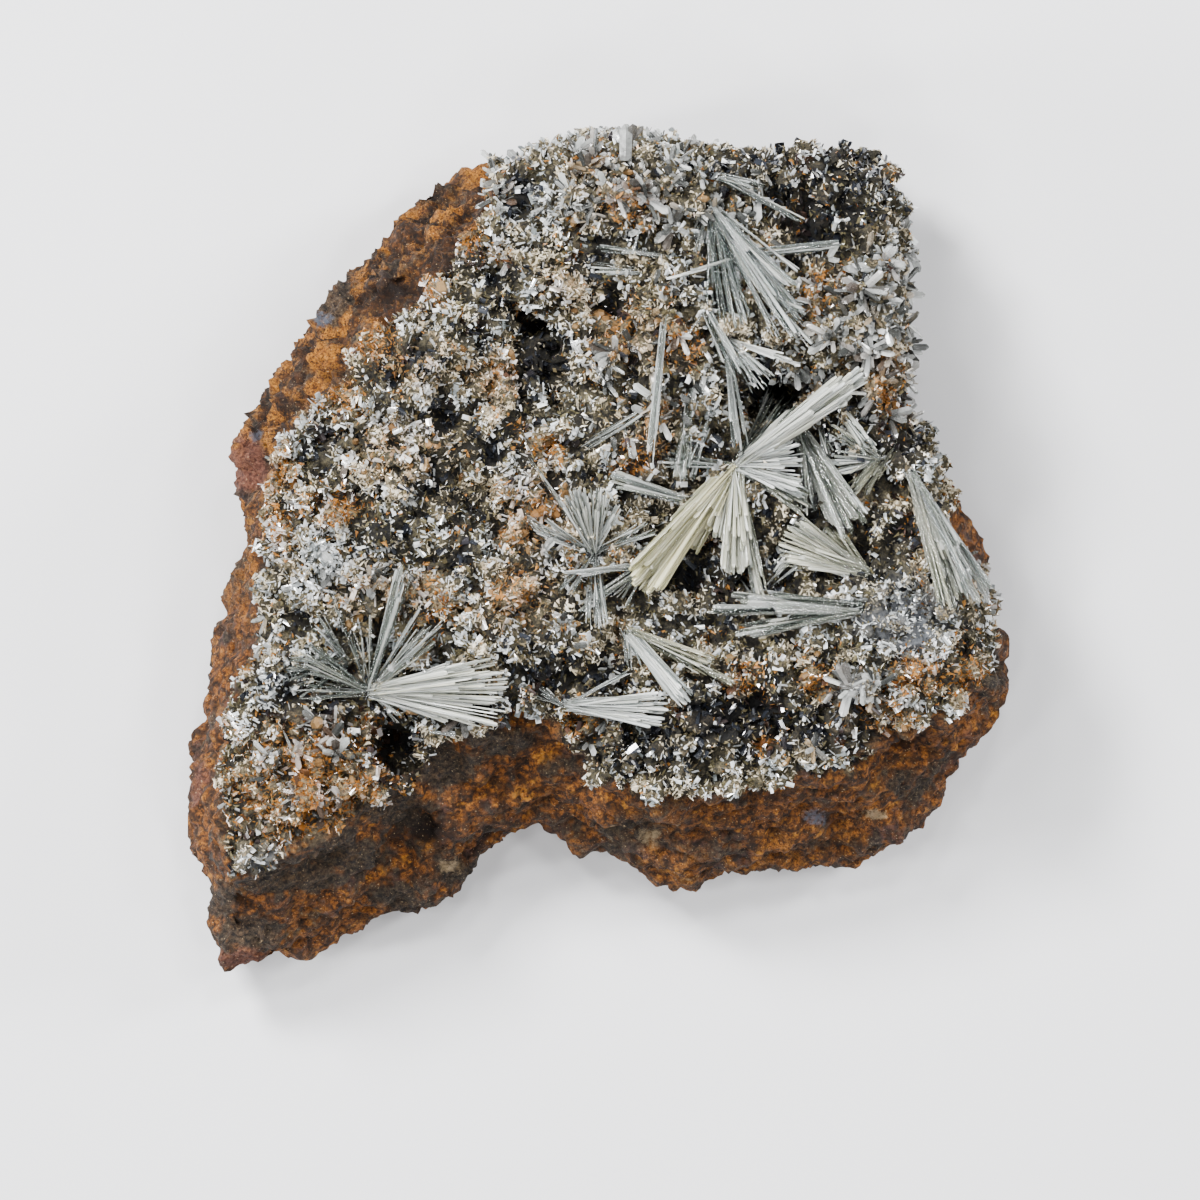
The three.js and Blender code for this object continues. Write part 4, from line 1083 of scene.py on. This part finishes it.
def grain_weight(kind, skin):
    """Where on the face each kind of small crystal grows."""
    crest = skin["crest"]
    light = (0.08 + 0.92 * crest) * (1 - 0.96 * skin["dark"]) * (1 - 0.75 * skin["hollow"])
    light = light * (1 - 0.6 * skin["frosted"])
    clean = 1 - skin["rust"]
    if kind == "cream":
        return light * clean * np.clip(0.55 + 1.6 * skin["warmth"], 0.08, 1) * (1 - skin["powder"])
    if kind == "tan":
        return crest * (skin["warm"] + 0.5 * skin["rust"] + 0.1) * (1 - skin["dark"]) * (1 - skin["powder"])
    if kind == "silver":
        cool = np.clip(0.5 - 1.3 * skin["warmth"] + 1.5 * skin["silvery"], 0.12, 2)
        return light * clean * cool + 0.4 * skin["powder"]
    if kind == "amber":
        return (skin["rust"] + 0.015) * (1 - 0.7 * skin["dark"]) * (1 - skin["powder"])
    if kind == "smoky":
        return (1.15 - crest) * np.clip(0.8 + 1.2 * skin["drift"], 0.1, 2) * (1 - 0.5 * skin["dark"])
    # Dark flakes gather in the dark patches, the gaps between knobs and the hollows: partly real dark
    # crystals, partly painted shade
    return skin["dark"] * 1.6 + 0.4 * np.clip(0.6 - crest, 0, 1) + 0.4 * skin["hollow"]


def build_grains(kind, patterns, skin, rng):
    """The small crystals of one colour over the whole face."""
    shape, count, shortest, longest, width_share = GRAINS[kind]
    chosen, feet = surface_samples(skin, grain_weight(kind, skin), count, rng)
    scatter = unit(rng.normal(size=(count, 3)))
    directions = unit(scatter + GRAIN_LEAN * skin["normal"][chosen])
    lengths = MM * (shortest + (longest - shortest) * rng.random(count) ** 1.8)
    lengths = lengths * (1 - 0.5 * skin["powder"][chosen])
    tone = 0.35 + 0.9 * skin["drift"][chosen] + rng.uniform(-0.4, 0.4, count)
    rust = skin["rust"][chosen] * rng.uniform(0.0, 1.0, count)
    warm = (skin["warm"][chosen] + 0.3 * skin["warmth"][chosen]) * rng.uniform(0.0, 0.6, count)
    traits = {"tone": np.clip(tone, 0, 1), "rust": np.clip(rust, 0, 1), "warm": np.clip(warm, 0, 1)}
    if kind == "dark":
        traits["warm"] = np.zeros(count)
    widths = lengths * width_share * rng.uniform(*GRAIN_WIDTHS, count)
    sunk_feet = feet - GRAIN_SUNK * lengths[:, None] * directions
    piece = joined_crystals("druse_" + kind, patterns[shape], sunk_feet, directions,
                            np.column_stack([widths, widths, lengths]),
                            rng.uniform(0, math.pi, count), traits)
    dress(piece, grain_material(kind))


def build_pickets(pattern, material, skin, rng):
    """Small frosted blades in rosettes, thickest along the top and the right rim."""
    weight = (skin["frosted"] ** 1.5 + 0.008) * (0.05 + skin["crest"]) * (1 - 0.95 * skin["dark"])
    chosen, centres = surface_samples(skin, weight, PICKET_ROSETTES, rng)
    owner = np.repeat(np.arange(PICKET_ROSETTES), PICKETS_EACH)
    count = len(owner)
    scatter = rng.normal(size=(count, 3))
    directions = unit(unit(scatter) + 0.6 * skin["normal"][chosen][owner] + 0.15 * UP)
    shortest, longest = PICKET_LENGTHS
    lengths = shortest + (longest - shortest) * rng.random(count) ** 1.5
    feet = centres[owner] + PICKET_SCATTER * scatter - PICKET_SUNK * directions
    rust = skin["rust"][chosen][owner] * rng.uniform(-0.2, 0.8, count)
    tone = 0.3 + 0.8 * skin["warmth"][chosen][owner] + rng.uniform(-0.3, 0.3, count)
    traits = {"rust": np.clip(rust, 0, 1), "tone": np.clip(tone, 0, 1), "shade": rng.random(count)}
    widths = lengths * PICKET_WIDTH * rng.uniform(*PICKET_WIDTHS, count)
    piece = joined_crystals("druse_pickets", pattern, feet, directions,
                            np.column_stack([widths, widths, lengths]),
                            rng.normal(scale=0.7, size=count), traits)
    dress(piece, material)


def ground_finder(rock):
    """A function giving the height of the rock's top at a place in the plane."""
    depsgraph = bpy.context.evaluated_depsgraph_get()
    tree = BVHTree.FromObject(rock, depsgraph)
    top = BOX_HIGH[2] + 10 * MM

    def ground(x, y):
        hit = tree.ray_cast(Vector((x, y, top)), Vector((0, 0, -1)))
        return hit[0].z if hit[0] else 0.0

    return ground


def lath_end(foot, bearing, length, lift, ground):
    """The tip of one lath, kept clear of the rock along its way."""
    x = foot[0] + length * math.cos(bearing)
    y = foot[1] + length * math.sin(bearing)
    z = ground(x, y) + lift
    for share in CLEARED_SHARES:
        rock_top = ground(foot[0] + (x - foot[0]) * share, foot[1] + (y - foot[1]) * share)
        over = rock_top + LATH_CLEARANCE
        z = max(z, foot[2] + (over - foot[2]) / share)
    return np.array([x, y, min(z, BOX_HIGH[2] - TOP_MARGIN)])


def build_spray(name, foot_place, limbs, pattern, material, ground, rng):
    """One spray of laths that spread from a common foot."""
    foot = np.array([foot_place[0] * MM, foot_place[1] * MM, 0])
    foot[2] = ground(foot[0], foot[1]) + FOOT_RISE
    feet, tips, widths, silks, yellows = [], [], [], [], []
    for bearing, length, spread, width, count, lift, silk, yellow in limbs:
        for _ in range(count):
            side = rng.uniform(-1, 1)
            angle = math.radians(bearing + side * spread)
            shorter = LATH_SHORTENING * rng.random() ** 1.6
            reach = length * MM * (1 - shorter - LIMB_ROUNDING * side * side)
            raised = lift * MM * rng.uniform(*LATH_LIFTS)
            tip = lath_end(foot, angle, reach, raised, ground)
            sideways = np.array([-math.sin(angle), math.cos(angle), 0])
            start = foot + rng.normal(scale=FOOT_SCATTER, size=3)
            start = start + side * LATH_SPACING * width * MM * sideways
            start = start + (tip - start) * LATE_START * rng.random()
            feet.append(start)
            tips.append(tip)
            widths.append(width * MM * rng.uniform(*LATH_WIDTHS))
            silks.append(silk + rng.uniform(-SILK_SPREAD, SILK_SPREAD))
            yellows.append(yellow + rng.uniform(-YELLOW_SPREAD, YELLOW_SPREAD))
    feet = np.array(feet)
    directions = np.array(tips) - feet
    lengths = np.linalg.norm(directions, axis=1)
    broad = np.array(widths) > BROAD_LATH
    twists = rng.normal(scale=np.where(broad, BROAD_TWIST, LATH_TWIST))
    traits = {"silk": np.clip(silks, 0, 1), "yellow": np.clip(yellows, 0, 1), "tone": rng.random(len(feet))}
    depths = np.minimum(widths, THICKEST_LATH)
    piece = joined_crystals(name.replace("scholzite_", "laths_"), pattern, feet, directions,
                            np.column_stack([widths, depths, lengths]), twists, traits)
    dress(piece, material)
    return piece


def build_cluster(name, place, pattern, material, ground, rng):
    """A rosette of larger frosted blades."""
    x, y, longest, count = place
    foot = np.array([x * MM, y * MM, ground(x * MM, y * MM)])
    scatter = rng.normal(size=(count, 3))
    directions = unit(unit(scatter) + [0, 0, 0.5])
    directions[:, 2] = np.abs(directions[:, 2])
    lengths = longest * MM * rng.uniform(*CLUSTER_LENGTHS, count)
    feet = foot + CLUSTER_SCATTER * scatter * [1, 1, 0.3]
    traits = {
        "rust": np.clip(rng.normal(0.0, 0.12, count), 0, 1),
        "tone": rng.uniform(0, 0.5, count),
        "shade": rng.uniform(0, 0.8, count),
    }
    widths = lengths * CLUSTER_BLADE_WIDTH
    piece = joined_crystals(name.replace("phosphophyllite_", "blades_"), pattern, feet, directions,
                            np.column_stack([widths, widths, lengths]),
                            rng.normal(scale=0.6, size=count), traits)
    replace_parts(piece, name)
    dress(piece, material)


def build_crest_blade(pattern, material, ground):
    """The single broad blade that stands up on the top edge."""
    (x, y), length, width = CREST_BLADE
    foot = np.array([x, y, 0]) * MM
    foot[2] = ground(foot[0], foot[1]) + CREST_RISE
    directions = np.array([CREST_DIRECTION])
    traits = {"rust": np.zeros(1), "tone": np.zeros(1), "shade": np.full(1, 0.5)}
    piece = joined_crystals("crest_blade", pattern, foot[None, :], directions,
                            np.array([[width, width, length]]) * MM, np.zeros(1), traits)
    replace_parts(piece, "phosphophyllite_crest_blade")
    dress(piece, material)


def build_strays(pattern, material, ground):
    """Short clear prisms that lie on the druse by themselves."""
    ends = []
    for x, y, far_x, far_y, _ in STRAY_PRISMS:
        near = (x * MM, y * MM, ground(x * MM, y * MM) + STRAY_RISES[0])
        far = (far_x * MM, far_y * MM, ground(far_x * MM, far_y * MM) + STRAY_RISES[1])
        ends.append((near, far))
    feet, tips = np.moveaxis(np.array(ends), 1, 0)
    count = len(feet)
    widths = np.array([prism[4] for prism in STRAY_PRISMS]) * MM
    traits = {"silk": np.full(count, 0.3), "yellow": np.zeros(count), "tone": np.full(count, 0.8)}
    lengths = np.linalg.norm(tips - feet, axis=1)
    piece = joined_crystals("stray_prisms", pattern, feet, tips - feet,
                            np.column_stack([widths, widths, lengths]), np.zeros(count), traits)
    dress(piece, material)


def build_floor():
    deselect_all()
    bpy.ops.mesh.primitive_plane_add(size=FLOOR_SIZE, location=(0, 0, 0))
    floor = bpy.context.object
    floor.name = "floor"
    floor.data.materials.append(floor_material())


def add_softbox(name, place, width, length, watts):
    """An area light that faces the specimen."""
    light = bpy.data.lights.new(name, "AREA")
    light.shape = "RECTANGLE"
    light.size = width
    light.size_y = length
    light.energy = watts
    lamp = bpy.data.objects.new(name, light)
    lamp.location = place
    aim = Vector((0, 0, FACE_LEVEL)) - Vector(place)
    lamp.rotation_euler = aim.to_track_quat("-Z", "Y").to_euler()
    bpy.context.collection.objects.link(lamp)


def build_lights():
    for name, (place, width, length, watts) in SOFTBOXES.items():
        add_softbox(name, place, width, length, watts)
    for turn in GLINT_BEARINGS:
        x = GLINT_REACH * math.cos(math.radians(turn))
        y = GLINT_REACH * math.sin(math.radians(turn))
        add_softbox("glint", (x, y, GLINT_HEIGHT), GLINT_SIZE, GLINT_SIZE, GLINT_WATTS)
    world = bpy.data.worlds.new("studio")
    world.use_nodes = True
    background = world.node_tree.nodes["Background"]
    background.inputs["Color"].default_value = SKY_COLOUR
    background.inputs["Strength"].default_value = SKY_STRENGTH
    bpy.context.scene.world = world
    bpy.context.scene.view_settings.look = "AgX - Medium High Contrast"


def build_camera():
    data = bpy.data.cameras.new("camera")
    data.sensor_width = SENSOR_WIDTH
    data.lens = SENSOR_WIDTH * CAMERA_HEIGHT / FRAME_WIDTH
    data.clip_end = CAMERA_REACH
    camera = bpy.data.objects.new("camera", data)
    camera.location = (*FRAME_CENTRE, FACE_LEVEL + CAMERA_HEIGHT)
    bpy.context.collection.objects.link(camera)
    bpy.context.scene.camera = camera


def main():
    noise.seed_set(NOISE_SEED)
    rng = np.random.default_rng(CRYSTAL_SEED)
    build_camera()
    build_lights()
    build_floor()
    rock = build_rock()
    ground = ground_finder(rock)
    skin = face_skin(rock)
    patterns = {"spike": spike_pattern("spike_pattern")}
    for name, shape in CRYSTAL_SHAPES.items():
        patterns[name] = crystal_pattern(name + "_pattern", *shape)
    blade = patterns["blade"]
    lath = patterns["lath"]
    for kind in GRAINS:
        build_grains(kind, patterns, skin, rng)
    frosted = blade_material()
    build_pickets(blade, frosted, skin, rng)
    laths = needle_material()
    for name, (foot, limbs) in SPRAYS.items():
        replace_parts(build_spray(name, foot, limbs, lath, laths, ground, rng), name)
    for name, (foot, limbs) in LOOSE_BUNDLES.items():
        build_spray(name, foot, limbs, lath, laths, ground, rng)
    for name, place in BLADE_CLUSTERS.items():
        build_cluster(name, place, blade, frosted, ground, rng)
    build_crest_blade(blade, frosted, ground)
    build_strays(lath, laths, ground)
    for pattern in patterns.values():
        bpy.data.objects.remove(pattern)


main()
